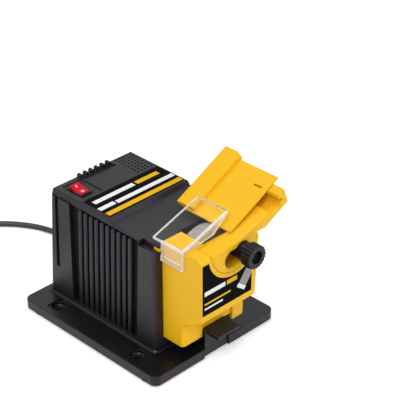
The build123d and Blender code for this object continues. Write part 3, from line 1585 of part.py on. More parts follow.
# Plug: sleeve, moulded body that lies on the bench, and its pins
plug_plane = Plane(origin=plug_start, x_dir=(0, 0, 1), z_dir=coil_end_way)
plug_half_height = plug_start.Z
sleeve_end = plug_start + coil_end_way * plug_sleeve_length
with BuildPart() as plug_sleeve:
    with BuildSketch(plug_plane):
        Circle(plug_sleeve_tip_r)
    with BuildSketch(plug_plane.offset(plug_sleeve_length)):
        Circle(plug_sleeve_r)
    loft()
keep(plug_sleeve, "plug_sleeve")

with BuildPart() as plug_body:
    plan = Plane(origin=sleeve_end, x_dir=coil_end_way, z_dir=(0, 0, 1))
    neck = plug_length * plug_neck_share
    with BuildSketch(plan.offset(-plug_half_height)):
        with BuildLine():
            Polyline(
                (0, -plug_neck_width / 2),
                (neck, -plug_width / 2),
                (plug_length, -plug_width / 2),
                (plug_length, plug_width / 2),
                (neck, plug_width / 2),
                (0, plug_neck_width / 2),
                close=True,
            )
        make_face()
    extrude(amount=2 * plug_half_height)
    fillet(plug_body.edges().filter_by(Axis.Z), plug_edge_r)
keep(plug_body, "plug_body")

with BuildPart() as plug_pins:
    plug_face = plug_plane.offset(plug_sleeve_length + plug_length)
    with BuildSketch(plug_face):
        with GridLocations(0, plug_pin_spacing, 1, 2):
            Circle(plug_pin_r)
    extrude(amount=plug_pin_length)
    fillet(plug_pins.edges().filter_by(GeomType.CIRCLE).group_by(Axis.Y)[0], plug_pin_edge_r)
keep(plug_pins, "plug_pins")
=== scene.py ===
"""Looks of the bench tool sharpener: finishes, mains lead, markings, eye guard, studio light and camera.

Metres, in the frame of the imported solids. The origin is on the bench, midway between the bench-screw holes,
with +X to the right of someone who faces the attachment, +Y to the back and +Z up.
"""

import logging
import math
from dataclasses import dataclass
from enum import IntEnum
from functools import cache, cached_property
from typing import ClassVar

import bmesh
import bpy
from mathutils import Matrix, Vector


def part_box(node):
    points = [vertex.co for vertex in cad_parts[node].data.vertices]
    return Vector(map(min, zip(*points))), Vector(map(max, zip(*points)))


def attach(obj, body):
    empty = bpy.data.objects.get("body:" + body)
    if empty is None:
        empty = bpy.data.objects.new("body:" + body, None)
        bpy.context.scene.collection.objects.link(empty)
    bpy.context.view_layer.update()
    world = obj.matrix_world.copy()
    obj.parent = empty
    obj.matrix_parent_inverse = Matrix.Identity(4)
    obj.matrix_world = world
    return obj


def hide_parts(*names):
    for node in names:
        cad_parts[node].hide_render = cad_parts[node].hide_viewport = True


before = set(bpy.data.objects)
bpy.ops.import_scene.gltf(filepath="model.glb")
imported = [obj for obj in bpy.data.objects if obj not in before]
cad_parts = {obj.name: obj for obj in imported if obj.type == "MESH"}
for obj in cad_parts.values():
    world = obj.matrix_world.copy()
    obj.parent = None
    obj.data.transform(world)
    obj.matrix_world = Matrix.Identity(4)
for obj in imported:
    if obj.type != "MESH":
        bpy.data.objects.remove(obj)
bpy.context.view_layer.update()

log = logging.getLogger("bench_sharpener")

Colour = tuple[float, float, float]
Point = tuple[float, float, float]
Pair = tuple[float, float]
Inputs = dict[str | int, object]
Socket = bpy.types.NodeSocket
Node = bpy.types.Node
Outputs = bpy.types.NodeOutputs
Tree = bpy.types.NodeTree
Piece = bpy.types.Object
Shape = bmesh.types.BMesh
FULL_TURN = 2 * math.pi
SMOOTH_BELOW = math.radians(35)
MERGE_WITHIN = 1e-6
CORNER_STEPS = 5
WHITE = (1, 1, 1, 1)
SHELF_DUST = (0.45, 0.44, 0.42)
FLOOR_DUST = (0.5, 0.49, 0.47)


class GuardFace(IntEnum):
    """Material number of each kind of face of the eye guard."""

    CLEAR = 0
    # cut edges, and the painted glow bands round the panes
    CUT = 1
    MILKY = 2


@dataclass
class Wiring:
    """Places the nodes of one shader tree and joins them."""

    tree: Tree

    def feed(self, socket: Socket, value: object) -> None:
        """Gives a socket its value.

        Args:
            socket: input that takes the value.
            value: another node's output, or a plain value.
        """
        if isinstance(value, Socket):
            self.tree.links.new(value, socket)
        else:
            socket.default_value = value

    def node(self, kind: str, inputs: Inputs | None = None, **settings: object) -> Node:
        """Adds a node.

        Args:
            kind: node type, without its ShaderNode prefix.
            inputs: values or outputs for its inputs, by name or place.
            settings: values of the node's own properties.

        Returns:
            The node.
        """
        made = self.tree.nodes.new("ShaderNode" + kind)
        for name, value in settings.items():
            setattr(made, name, value)
        for key, value in (inputs or {}).items():
            self.feed(made.inputs[key], value)
        return made

    def calc(self, operation: str, *values: object) -> Socket:
        """Adds a Math node.

        Args:
            operation: the node's operation.
            values: its inputs in order.

        Returns:
            Its result.
        """
        return self.node("Math", dict(enumerate(values)), operation=operation).outputs[0]

    def span(self, value: object, low: float, high: float, start: float = 0, end: float = 1) -> Socket:
        """Maps low to high onto start to end, held at both ends.

        Args:
            value: what is mapped.
            low: value that gives start.
            high: value that gives end.
            start: result at low.
            end: result at high.

        Returns:
            The mapped value.
        """
        limits = {"Value": value, "From Min": low, "From Max": high, "To Min": start, "To Max": end}
        return self.node("MapRange", limits).outputs["Result"]

    def mix(self, amount: object, first: object, second: object) -> Socket:
        """Mixes two colours.

        Args:
            amount: share of the second, from 0 to 1.
            first: colour at 0.
            second: colour at 1.

        Returns:
            The mixed colour.
        """
        colours = [c if isinstance(c, Socket) else (*c, 1.0) for c in (first, second)]
        inputs = {0: amount, 6: colours[0], 7: colours[1]}
        return self.node("Mix", inputs, data_type="RGBA").outputs[2]

    def noise(self, at: object, scale: object, detail: float, roughness: float = 0.5) -> Socket:
        """Returns the value of a noise at a point."""
        inputs = {"Vector": at, "Scale": scale, "Detail": detail, "Roughness": roughness}
        return self.node("TexNoise", inputs).outputs["Fac"]

    @cached_property
    def place(self) -> Socket:
        """Returns the point on the piece, in the frame at rest."""
        return self.node("TexCoord").outputs["Object"]

    def group(self, tree: Tree, **inputs: object) -> Outputs:
        """Places a shared effect at the point on the piece.

        Args:
            tree: the effect's node group.
            inputs: values of its other sockets.

        Returns:
            Its outputs.
        """
        return self.node("Group", {"Place": self.place} | inputs, node_tree=tree).outputs

    @cached_property
    def touched(self) -> Outputs:
        """Returns the masks of smudges and dust on the piece."""
        return self.group(handling())

    def bump(
        self, height: object, distance: float, strength: float, normal: object = None, **settings: object
    ) -> Socket:
        """Adds a Bump node.

        Args:
            height: what raises the surface.
            distance: how far a height of 1 raises it.
            strength: share of the effect, from 0 to 1.
            normal: normal that it starts from, if it isn't the surface's own.
            settings: values of the node's own properties.

        Returns:
            The bumped normal.
        """
        inputs = {"Strength": strength, "Distance": distance, "Height": height}
        if normal is not None:
            inputs["Normal"] = normal
        return self.node("Bump", inputs, **settings).outputs["Normal"]


def cleared(owner: bpy.types.Material | bpy.types.World) -> Wiring:
    """Returns the wiring of a material's or a world's tree, emptied."""
    owner.use_nodes = True
    owner.node_tree.nodes.clear()
    return Wiring(owner.node_tree)


def new_effect(name: str, **inputs: float) -> tuple[Wiring, Outputs]:
    """Starts a shader node group that takes a place and some numbers.

    Args:
        name: the group's name.
        inputs: default of each number.

    Returns:
        Its wiring, and its inputs by name.
    """
    tree = bpy.data.node_groups.new(name, "ShaderNodeTree")
    tree.interface.new_socket(name="Place", in_out="INPUT", socket_type="NodeSocketVector")
    for key, value in inputs.items():
        socket = tree.interface.new_socket(name=key, in_out="INPUT", socket_type="NodeSocketFloat")
        socket.default_value = value
    return Wiring(tree), tree.nodes.new("NodeGroupInput").outputs


def ended(wire: Wiring, **results: Socket) -> Tree:
    """Gives a shader node group its outputs.

    Args:
        wire: the group's wiring.
        results: what each output gives.

    Returns:
        The group.
    """
    for key, value in results.items():
        kind = "NodeSocketVector" if value.type == "VECTOR" else "NodeSocketFloat"
        wire.tree.interface.new_socket(name=key, in_out="OUTPUT", socket_type=kind)
    out = wire.tree.nodes.new("NodeGroupOutput")
    for key, value in results.items():
        wire.feed(out.inputs[key], value)
    return wire.tree


@cache
def mould_grain() -> Tree:
    """Builds the fine spark-eroded grain of a moulding tool.

    Returns:
        Group from a place and a scale to a height and a tone.
    """
    wire, given = new_effect("mould_grain", Scale=1500.0)
    coarse_share = 0.45
    spots = {"Vector": given["Place"], "Scale": given["Scale"]}
    pits = wire.node("TexVoronoi", spots, feature="SMOOTH_F1").outputs["Distance"]
    coarse = wire.calc("MULTIPLY", given["Scale"], coarse_share)
    tone = wire.noise(given["Place"], coarse, 3.0, 0.6)
    height = wire.calc("MULTIPLY", wire.calc("ADD", pits, tone), 0.5)
    return ended(wire, Height=height, Tone=tone)


@cache
def soft_edge() -> Tree:
    """Builds the rounding of a moulded or turned edge, and the mask of where that edge is, broken up by
    noise; finishes paint wear and edge highlight through that mask.

    Returns:
        Group from a place and a radius to a normal and an edge mask.
    """
    wire, given = new_effect("soft_edge", Radius=0.0006)
    turn_span, rub_and_sheen_span = (0.02, 0.22), (0.3, 0.7)
    softened = wire.node("Bevel", {"Radius": given["Radius"]}, samples=6).outputs["Normal"]
    flat = wire.node("NewGeometry").outputs["True Normal"]
    dot = wire.node("VectorMath", {0: softened, 1: flat}, operation="DOT_PRODUCT").outputs["Value"]
    turn = wire.span(wire.calc("SUBTRACT", 1.0, dot), *turn_span)
    # Noise breaks up the edge mask; finishes use it for wear and for painted edge highlight.
    rub_and_sheen = wire.span(wire.noise(given["Place"], 260.0, 4.0), *rub_and_sheen_span)
    return ended(wire, Normal=softened, Edge=wire.calc("MULTIPLY", turn, rub_and_sheen))


@cache
def handling() -> Tree:
    """Builds the soft smudges and settled dust of something that has been picked up and put down.

    Returns:
        Group from a place to a smudge mask and a dust mask.
    """
    wire, given = new_effect("handling")
    smudge_span, speck_span, level_span = (0.35, 0.7), (0.52, 0.75), (0.4, 1.0)
    smudge = wire.span(wire.noise(given["Place"], 26.0, 5.0, 0.62), *smudge_span)
    speck = wire.span(wire.noise(given["Place"], 900.0, 2.0), *speck_span)
    facing = wire.node("SeparateXYZ", {0: wire.node("NewGeometry").outputs["True Normal"]}).outputs["Z"]
    dust = wire.calc("MULTIPLY", wire.span(facing, *level_span), speck)
    return ended(wire, Smudge=smudge, Dust=dust)


@dataclass(frozen=True)
class Finish:
    """What every finish has: a name, a colour and a gloss, and how far they vary over the surface."""

    name: str
    colour: Colour
    roughness: float = 0.45
    tone_spread: ClassVar[Pair] = (1.0, 1.0)
    gloss_spread: ClassVar[Pair] = (0.0, 0.0)

    def material(self) -> bpy.types.Material:
        """Returns the finish as a material, made at its first use."""
        title = f"{self.name}_finish"
        found = bpy.data.materials.get(title)
        if found:
            return found
        made = bpy.data.materials.new(title)
        made.diffuse_color = (*self.colour, 1.0)
        wire = cleared(made)
        plain = {"Base Color": (*self.colour, 1.0), "Roughness": self.roughness}
        shader = wire.node("BsdfPrincipled", plain | self.detail(wire))
        wire.node("OutputMaterial", {"Surface": shader.outputs["BSDF"]})
        return made

    def detail(self, wire: Wiring) -> Inputs:
        """Returns what sets this finish apart, by input of the shader."""
        raise NotImplementedError

    def tones(self, wire: Wiring, amount: object) -> Socket:
        """Returns the colour, mixed from its two tints by the amount of the second."""
        return wire.mix(amount, *(tinted(self.colour, factor) for factor in self.tone_spread))

    def gloss(self, wire: Wiring, mask: object, low: float = 0, high: float = 1) -> Socket:
        """Returns the roughness, spread over a mask that runs from low to high."""
        return wire.span(mask, low, high, *(self.roughness + change for change in self.gloss_spread))

    def dress(self, piece: Piece) -> None:
        """Gives a piece this finish alone."""
        piece.data.materials.clear()
        piece.data.materials.append(self.material())


def tinted(colour: Colour, factor: float) -> Colour:
    """Returns a colour made lighter or darker by a factor."""
    return tuple(min(channel * factor, 1.0) for channel in colour)


@dataclass(frozen=True)
class MouldedPlastic(Finish):
    """Moulded plastic with tool grain, rounded edges lightened partly by wear and partly by a painted
    highlight, and light handling.
    """

    grain_per_metre: float = 1500.0
    grain_height: float = 0.00006
    edge_radius: float = 0.0007
    # paler tint of the edges: partly wear, partly painted highlight
    edge_highlight_and_wear_lift: float = 1.5
    dust: float = 0.03
    specular: float = 0.5
    sheen_tint: Colour = (1.0, 1.0, 1.0)
    tone_spread = (0.93, 1.06)
    gloss_spread = (-0.04, 0.06)
    edge_highlight_and_wear = 0.35
    relief = 0.6

    def detail(self, wire: Wiring) -> Inputs:
        """Returns the inputs for grain, edges with painted highlight and wear, smudges and dust."""
        grain = wire.group(mould_grain(), Scale=self.grain_per_metre)
        edge = wire.group(soft_edge(), Radius=self.edge_radius)
        # Painted highlight: edges are mixed towards a paler tint, partly as wear and partly as the highlight
        # that rounded edges catch.
        highlight_and_wear = wire.calc("MULTIPLY", edge["Edge"], self.edge_highlight_and_wear)
        highlit_and_worn = wire.mix(highlight_and_wear, self.tones(wire, grain["Tone"]), tinted(self.colour, self.edge_highlight_and_wear_lift))
        dusty = wire.calc("MULTIPLY", wire.touched["Dust"], self.dust)
        return {
            "Base Color": wire.mix(dusty, highlit_and_worn, SHELF_DUST),
            "Roughness": self.gloss(wire, wire.touched["Smudge"]),
            "Normal": wire.bump(grain["Height"], self.grain_height, self.relief, edge["Normal"]),
            "Specular IOR Level": self.specular,
            "Specular Tint": (*self.sheen_tint, 1.0),
        }


@dataclass(frozen=True)
class Bar:
    """One printed bar of a label, in the label's own two directions."""

    colour: Colour
    left: float
    right: float
    low: float
    high: float
    turn: float = 0.0
    soft = 0.00012

    def mask(self, wire: Wiring, upright: bool) -> Socket:
        """Marks where the bar is.

        Args:
            wire: the material's wiring.
            upright: whether the label stands in the XZ plane, or else lies in the XY plane.

        Returns:
            1 inside the bar and 0 outside.
        """
        middle = ((self.left + self.right) / 2, (self.low + self.high) / 2)
        at = (middle[0], 0, middle[1]) if upright else (middle[0], middle[1], 0)
        turned = (0, -self.turn, 0) if upright else (0, 0, self.turn)
        spot = {"Vector": wire.place, "Location": at, "Rotation": turned}
        moved = wire.node("Mapping", spot, vector_type="TEXTURE").outputs["Vector"]
        parts = wire.node("SeparateXYZ", {0: moved}).outputs
        sizes = {"X": self.right - self.left, "Z" if upright else "Y": self.high - self.low}
        inside = []
        for axis, size in sizes.items():
            away = wire.calc("ABSOLUTE", parts[axis])
            inside.append(wire.span(away, size / 2 - self.soft, size / 2 + self.soft, 1, 0))
        return wire.calc("MULTIPLY", *inside)


@dataclass(frozen=True)
class PrintedFilm(Finish):
    """Glossy printed film with plain bars."""

    bars: tuple[Bar, ...] = ()
    upright: bool = False
    specular = 0.015
    tone_spread = (0.9, 1.1)
    gloss_spread = (0.0, 0.12)
    waves_per_metre = 420.0
    wave_height = 0.00003
    relief = 0.25

    def detail(self, wire: Wiring) -> Inputs:
        """Returns the inputs for the bars, a slight waviness and smudges."""
        grain = wire.group(mould_grain(), Scale=self.waves_per_metre)
        colour = self.tones(wire, grain["Tone"])
        for bar in self.bars:
            colour = wire.mix(bar.mask(wire, self.upright), colour, bar.colour)
        return {
            "Base Color": colour,
            "Roughness": self.gloss(wire, wire.touched["Smudge"]),
            "Normal": wire.bump(grain["Height"], self.wave_height, self.relief),
            "Specular IOR Level": self.specular,
        }


@dataclass(frozen=True)
class ClearSheet(Finish):
    """Clear or milky folded sheet with faint scuffs."""

    index: float = 1.2
    clarity: float = 1.0
    tone_spread = (1.0, 0.97)
    gloss_spread = (0.0, 0.05)

    def detail(self, wire: Wiring) -> Inputs:
        """Returns the inputs for the clear body and its scuffs."""
        return {
            "Base Color": self.tones(wire, wire.touched["Smudge"]),
            "Transmission Weight": self.clarity,
            "IOR": self.index,
            "Roughness": self.gloss(wire, wire.touched["Smudge"]),
        }


@dataclass(frozen=True)
class CutEdgeAndGlow(Finish):
    """Sawn edge of a clear sheet, white with fine saw marks: partly the frosted cut, partly painted glow of
    light carried along the sheet.
    """

    tone_spread = (0.94, 1.04)
    gloss_spread = (-0.1, 0.1)
    marks_per_metre = 1800.0
    mark_height = 0.00004
    relief = 0.4
    smudge_tint = 0.9
    clarity = 0.25

    def detail(self, wire: Wiring) -> Inputs:
        """Returns the inputs for the saw marks."""
        grain = wire.group(mould_grain(), Scale=self.marks_per_metre)
        smudged = tinted(self.colour, self.smudge_tint)
        return {
            "Base Color": wire.mix(wire.touched["Smudge"], self.tones(wire, grain["Tone"]), smudged),
            "Roughness": self.gloss(wire, grain["Tone"]),
            "Transmission Weight": self.clarity,
            "Normal": wire.bump(grain["Height"], self.mark_height, self.relief),
        }


@dataclass(frozen=True)
class Metal(Finish):
    """Bare metal with turning or rolling marks and rounded edges."""

    marks_per_metre: float = 2400.0
    stretch: float = 0.06
    edge_radius: float = 0.0003
    tone_spread = (0.82, 1.1)
    gloss_spread = (0.0, 0.15)
    edge_tint = 1.25
    mark_height = 0.00004
    relief = 0.3

    def detail(self, wire: Wiring) -> Inputs:
        """Returns the inputs for the marks and edges."""
        scale = (self.stretch, 1.0, self.stretch)
        streak = wire.node("Mapping", {"Vector": wire.place, "Scale": scale}).outputs["Vector"]
        lines = wire.noise(streak, self.marks_per_metre, 2.0)
        edge = wire.group(soft_edge(), Radius=self.edge_radius)
        bright = tinted(self.colour, self.edge_tint)
        return {
            "Base Color": wire.mix(edge["Edge"], self.tones(wire, lines), bright),
            "Metallic": 1.0,
            "Roughness": self.gloss(wire, wire.touched["Smudge"]),
            "Normal": wire.bump(lines, self.mark_height, self.relief, edge["Normal"]),
        }


@dataclass(frozen=True)
class Stacked(Finish):
    """Thin layers or turns of wire side by side: sheet stacks and windings."""

    pitch: float = 0.0005
    dark = 0.35
    tone_spread = (0.85, 1.08)
    gloss_spread = (0.2, 0.0)
    joint_span = (0.1, 0.7)
    crown_share = 0.4
    relief = 0.8

    def detail(self, wire: Wiring) -> Inputs:
        """Returns the inputs for the joints between layers."""
        along = wire.node("SeparateXYZ", {0: wire.place}).outputs["Y"]
        cycle = wire.calc("FRACT", wire.calc("DIVIDE", along, self.pitch))
        crown = wire.calc("SINE", wire.calc("MULTIPLY", cycle, math.pi))
        raised = wire.span(crown, *self.joint_span)
        joint = tinted(self.colour, self.dark)
        return {
            "Base Color": wire.mix(raised, joint, self.tones(wire, wire.touched["Smudge"])),
            "Metallic": 1.0,
            "Roughness": self.gloss(wire, crown),
            "Normal": wire.bump(crown, self.pitch * self.crown_share, self.relief),
        }


@dataclass(frozen=True)
class Gritstone(Finish):
    """Bonded abrasive: pale grains in a darker bond, with open pores."""

    grain_per_metre = 1400.0
    bond = (0.2, 0.17, 0.16)
    tone_spread = (0.86, 1.1)
    gloss_spread = (0.0, -0.2)
    edge_radius = 0.0009
    glint = (0.66, 0.64, 0.62)
    glint_span = (0.62, 0.95)
    pore_span = (0.42, 0.75)
    pore_depth = 0.0003
    relief = 0.9

    def detail(self, wire: Wiring) -> Inputs:
        """Returns the inputs for grains and pores."""
        cells = wire.node("TexVoronoi", {"Vector": wire.place, "Scale": self.grain_per_metre}).outputs
        bits = wire.node("SeparateColor", {0: cells["Color"]}).outputs["Red"]
        tones = self.tones(wire, wire.noise(wire.place, 180.0, 4.0))
        grains = wire.mix(wire.span(bits, *self.glint_span), tones, self.glint)
        pores = wire.span(cells["Distance"], *self.pore_span)
        edge = wire.group(soft_edge(), Radius=self.edge_radius)["Normal"]
        return {
            "Base Color": wire.mix(pores, grains, self.bond),
            "Roughness": self.gloss(wire, bits),
            "Normal": wire.bump(cells["Distance"], self.pore_depth, self.relief, edge, invert=True),
        }


@dataclass(frozen=True)
class LitLens(Finish):
    """Translucent coloured plastic of a switch rocker."""

    tone_spread = (0.9, 1.08)
    gloss_spread = (0.0, 0.1)
    edge_radius = 0.0006
    edge_highlight_colour = (0.74, 0.012, 0.03)
    haze_per_metre = 700.0

    def detail(self, wire: Wiring) -> Inputs:
        """Returns the inputs for depth, rounded edges painted as a brighter red highlight, and a fine haze.
        """
        edge = wire.group(soft_edge(), Radius=self.edge_radius)
        grain = wire.group(mould_grain(), Scale=self.haze_per_metre)
        return {
            # Painted highlight: the rounded edges are tinted a brighter red than the body.
            "Base Color": wire.mix(edge["Edge"], self.tones(wire, grain["Tone"]), self.edge_highlight_colour),
            "Roughness": self.gloss(wire, wire.touched["Smudge"]),
            "Normal": edge["Normal"],
            "Specular IOR Level": 0.1,
            "Subsurface Weight": 0.1,
            "Subsurface Radius": (0.004, 0.001, 0.001),
            "Subsurface Scale": 0.5,
        }


@dataclass(frozen=True)
class Sheath(Finish):
    """Flexible rubbery sheath of a lead, slightly dusty."""

    tone_spread = (0.85, 1.25)
    gloss_spread = (-0.05, 0.08)
    grain_per_metre = 1100.0
    grain_height = 0.00005
    grain_span = (0.2, 0.8)
    relief = 0.4
    dust = 0.08

    def detail(self, wire: Wiring) -> Inputs:
        """Returns the inputs for a fine drag texture and dust."""
        grain = wire.group(mould_grain(), Scale=self.grain_per_metre)
        dusty = wire.calc("MULTIPLY", wire.touched["Dust"], self.dust)
        return {
            "Base Color": wire.mix(dusty, self.tones(wire, wire.touched["Smudge"]), FLOOR_DUST),
            "Roughness": self.gloss(wire, grain["Tone"], *self.grain_span),
            "Normal": wire.bump(grain["Height"], self.grain_height, self.relief),
        }


COOL = (0.94, 0.89, 1.0)
BLACK = (0.005, 0.0044, 0.006)
KNOB_COLOUR = (0.004, 0.0037, 0.0045)
SHELL_BLACK = MouldedPlastic("shell_black", BLACK, 0.44, specular=0.46, sheen_tint=COOL)
COVER_BLACK = MouldedPlastic("cover_black", BLACK, 0.5, grain_height=0.0001, specular=0.37, sheen_tint=COOL)
BASE_BLACK = MouldedPlastic(
    "base_black", (0.004, 0.0035, 0.0048), 0.34, grain_height=0.00004, specular=0.31, sheen_tint=COOL
)
KNOB_BLACK = MouldedPlastic(
    "knob_black", KNOB_COLOUR, 0.36, edge_radius=0.0005, dust=0.01, specular=0.24, sheen_tint=COOL
)
SWITCH_BLACK = MouldedPlastic(
    "switch_black", (0.003, 0.003, 0.0035), 0.34, edge_radius=0.0004, specular=0.25
)
FAN_GREY = MouldedPlastic("fan_grey", (0.06, 0.06, 0.065), 0.5, edge_radius=0.0003)
YELLOW = MouldedPlastic(
    "attachment_yellow",
    (0.86, 0.478, 0.007),
    0.4,
    grain_height=0.00003,
    edge_radius=0.0022,
    # edges lifted paler as a painted highlight and wear
    edge_highlight_and_wear_lift=1.1,
    dust=0.01,
    specular=0.2,
)
PLUG_BLACK = MouldedPlastic("plug_black", (0.006, 0.006, 0.0065), 0.42, specular=0.4)
TIE_BLACK = MouldedPlastic("tie_black", (0.02, 0.02, 0.022), 0.55, grain_per_metre=900.0)
MARK_WHITE = MouldedPlastic("mark_white", (0.82, 0.82, 0.8), 0.4, edge_radius=0.0001)
FOOT_RUBBER = Sheath("foot_rubber", (0.02, 0.02, 0.02), 0.7)
LEAD_SHEATH = Sheath("lead_sheath", (0.02, 0.02, 0.022), 0.45)
ROCKER_RED = LitLens("rocker_red", (0.6, 0.003, 0.014), 0.24)
GUARD_CLEAR = ClearSheet("guard_clear", (0.985, 0.99, 0.99), 0.02)
GUARD_MILKY = ClearSheet("guard_milky", (0.99, 0.945, 0.74), 0.22, 1.15, 0.82)
# white of the cut edges and of the painted glow bands on the guard
GUARD_EDGE_AND_GLOW = CutEdgeAndGlow("guard_cut_edge_and_glow", (0.9, 0.9, 0.91), 0.4)
STEEL = Metal("bright_steel", (0.56, 0.56, 0.57), 0.28)
ALLOY = Metal("bracket_alloy", (0.62, 0.62, 0.63), 0.42, marks_per_metre=1200.0, stretch=0.6)
PLATED = Metal("plated_pins", (0.72, 0.72, 0.71), 0.16, marks_per_metre=1800.0)
CARBON = MouldedPlastic("brush_carbon", (0.018, 0.018, 0.019), 0.6)
IRON_STACK = Stacked("iron_stack", (0.34, 0.34, 0.36), 0.4)
WINDING = Stacked("winding_copper", (0.62, 0.24, 0.09), 0.32, 0.0006)
COPPER = Metal("worked_copper", (0.72, 0.36, 0.2), 0.3)
ABRASIVE = Gritstone("wheel_abrasive", (0.36, 0.315, 0.3), 0.92)
WHITE_PRINT = (0.8, 0.8, 0.79)
YELLOW_PRINT = (0.8, 0.43, 0.015)
GREY_PRINT = (0.3, 0.3, 0.31)
BLACK_PRINT = (0.0025, 0.0025, 0.0028)
BLADE_SLANT = math.radians(53)
CAP_BARS = (
    Bar(WHITE_PRINT, -0.043, 0.008, 0.0205, 0.0262),
    Bar(YELLOW_PRINT, 0.011, 0.04, 0.0205, 0.0262),
    Bar(WHITE_PRINT, -0.0475, -0.028, 0.008, 0.0136),
    Bar(WHITE_PRINT, -0.026, 0.0478, 0.0073, 0.0128),
    Bar(YELLOW_PRINT, -0.0475, 0.0478, -0.0038, 0.0024),
)
FRONT_BARS = (
    Bar(WHITE_PRINT, -0.0362, -0.0095, 0.0915, 0.0962),
    Bar(YELLOW_PRINT, -0.0075, 0.006, 0.0915, 0.0962),
    Bar(YELLOW_PRINT, -0.0362, -0.0025, 0.0818, 0.0838),
    Bar(WHITE_PRINT, -0.0362, -0.0125, 0.0766, 0.0786),
    Bar(GREY_PRINT, 0.0066, 0.0264, 0.08135, 0.09265, BLADE_SLANT),
    Bar(WHITE_PRINT, 0.0098, 0.0138, 0.0745, 0.0868, BLADE_SLANT),
)
CAP_FILM = PrintedFilm("cap_film", BLACK_PRINT, 0.42, CAP_BARS)
FRONT_FILM = PrintedFilm("front_film", BLACK_PRINT, 0.42, FRONT_BARS, upright=True)


def added(name: str, data: bpy.types.ID) -> Piece:
    """Returns a new object of the scene that shows the data."""
    made = bpy.data.objects.new(name, data)
    bpy.context.scene.collection.objects.link(made)
    return made


def new_piece(name: str, mesh: Shape, body: str, *finishes: Finish) -> Piece:
    """Turns a finished bmesh into a piece that rides on a body.

    Args:
        name: the piece's name.
        mesh: its shape, in place in the frame; it is freed.
        body: body that it rides on.
        finishes: its finishes, in the order of its faces' material numbers.

    Returns:
        The piece.
    """
    data = bpy.data.meshes.new(name)
    mesh.to_mesh(data)
    mesh.free()
    data.shade_smooth()
    data.set_sharp_from_angle(angle=SMOOTH_BELOW)
    piece = added(name, data)
    for finish in finishes:
        data.materials.append(finish.material())
    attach(piece, body)
    return piece


def face_out(mesh: Shape) -> None:
    """Turns the faces of a shape outward."""
    bmesh.ops.recalc_face_normals(mesh, faces=mesh.faces)


def shift_new(mesh: Shape, result: dict[str, list], way: Vector) -> None:
    """Moves the vertices that an operator made."""
    made = [v for v in result["geom"] if isinstance(v, bmesh.types.BMVert)]
    bmesh.ops.translate(mesh, verts=made, vec=way)


def lathe(profile: list[Pair], origin: Point, axis: Point, steps: int = 48) -> Shape:
    """Spins a profile round an axis.

    Args:
        profile: distances along the axis and out from it.
        origin: start of the axis.
        axis: direction of the axis.
        steps: faces round the axis.

    Returns:
        The closed shape.
    """
    along = Vector(axis).normalized()
    out = along.orthogonal().normalized()
    mesh = bmesh.new()
    points = [mesh.verts.new(Vector(origin) + along * run + out * radius) for run, radius in profile]
    edges = [mesh.edges.new(pair) for pair in zip(points, points[1:])]
    bmesh.ops.spin(
        mesh, geom=points + edges, cent=origin, axis=along, angle=FULL_TURN, steps=steps, use_merge=True
    )
    bmesh.ops.remove_doubles(mesh, verts=mesh.verts, dist=MERGE_WITHIN)
    face_out(mesh)
    return mesh


def rounded(mesh: Shape, edges: list, radius: float, segments: int = 3) -> None:
    """Rounds edges of a bmesh.

    Args:
        mesh: the shape.
        edges: its edges to round.
        radius: width of the round.
        segments: faces across the round.
    """
    bmesh.ops.bevel(
        mesh,
        geom=edges,
        offset=radius,
        affect="EDGES",
        segments=segments,
        profile=0.5,
        material=-1,
    )


class Dressed:
    """Sub-assembly with solids that keep their own meshes."""

    finishes: ClassVar[dict[Finish, str]] = {}

    def build(self) -> None:
        """Gives the solids their finishes, by node names with spaces between them."""
        for finish, names in self.finishes.items():
            for name in names.split():
                finish.dress(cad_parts[name])
                log.info("%s: %s", name, finish.name)


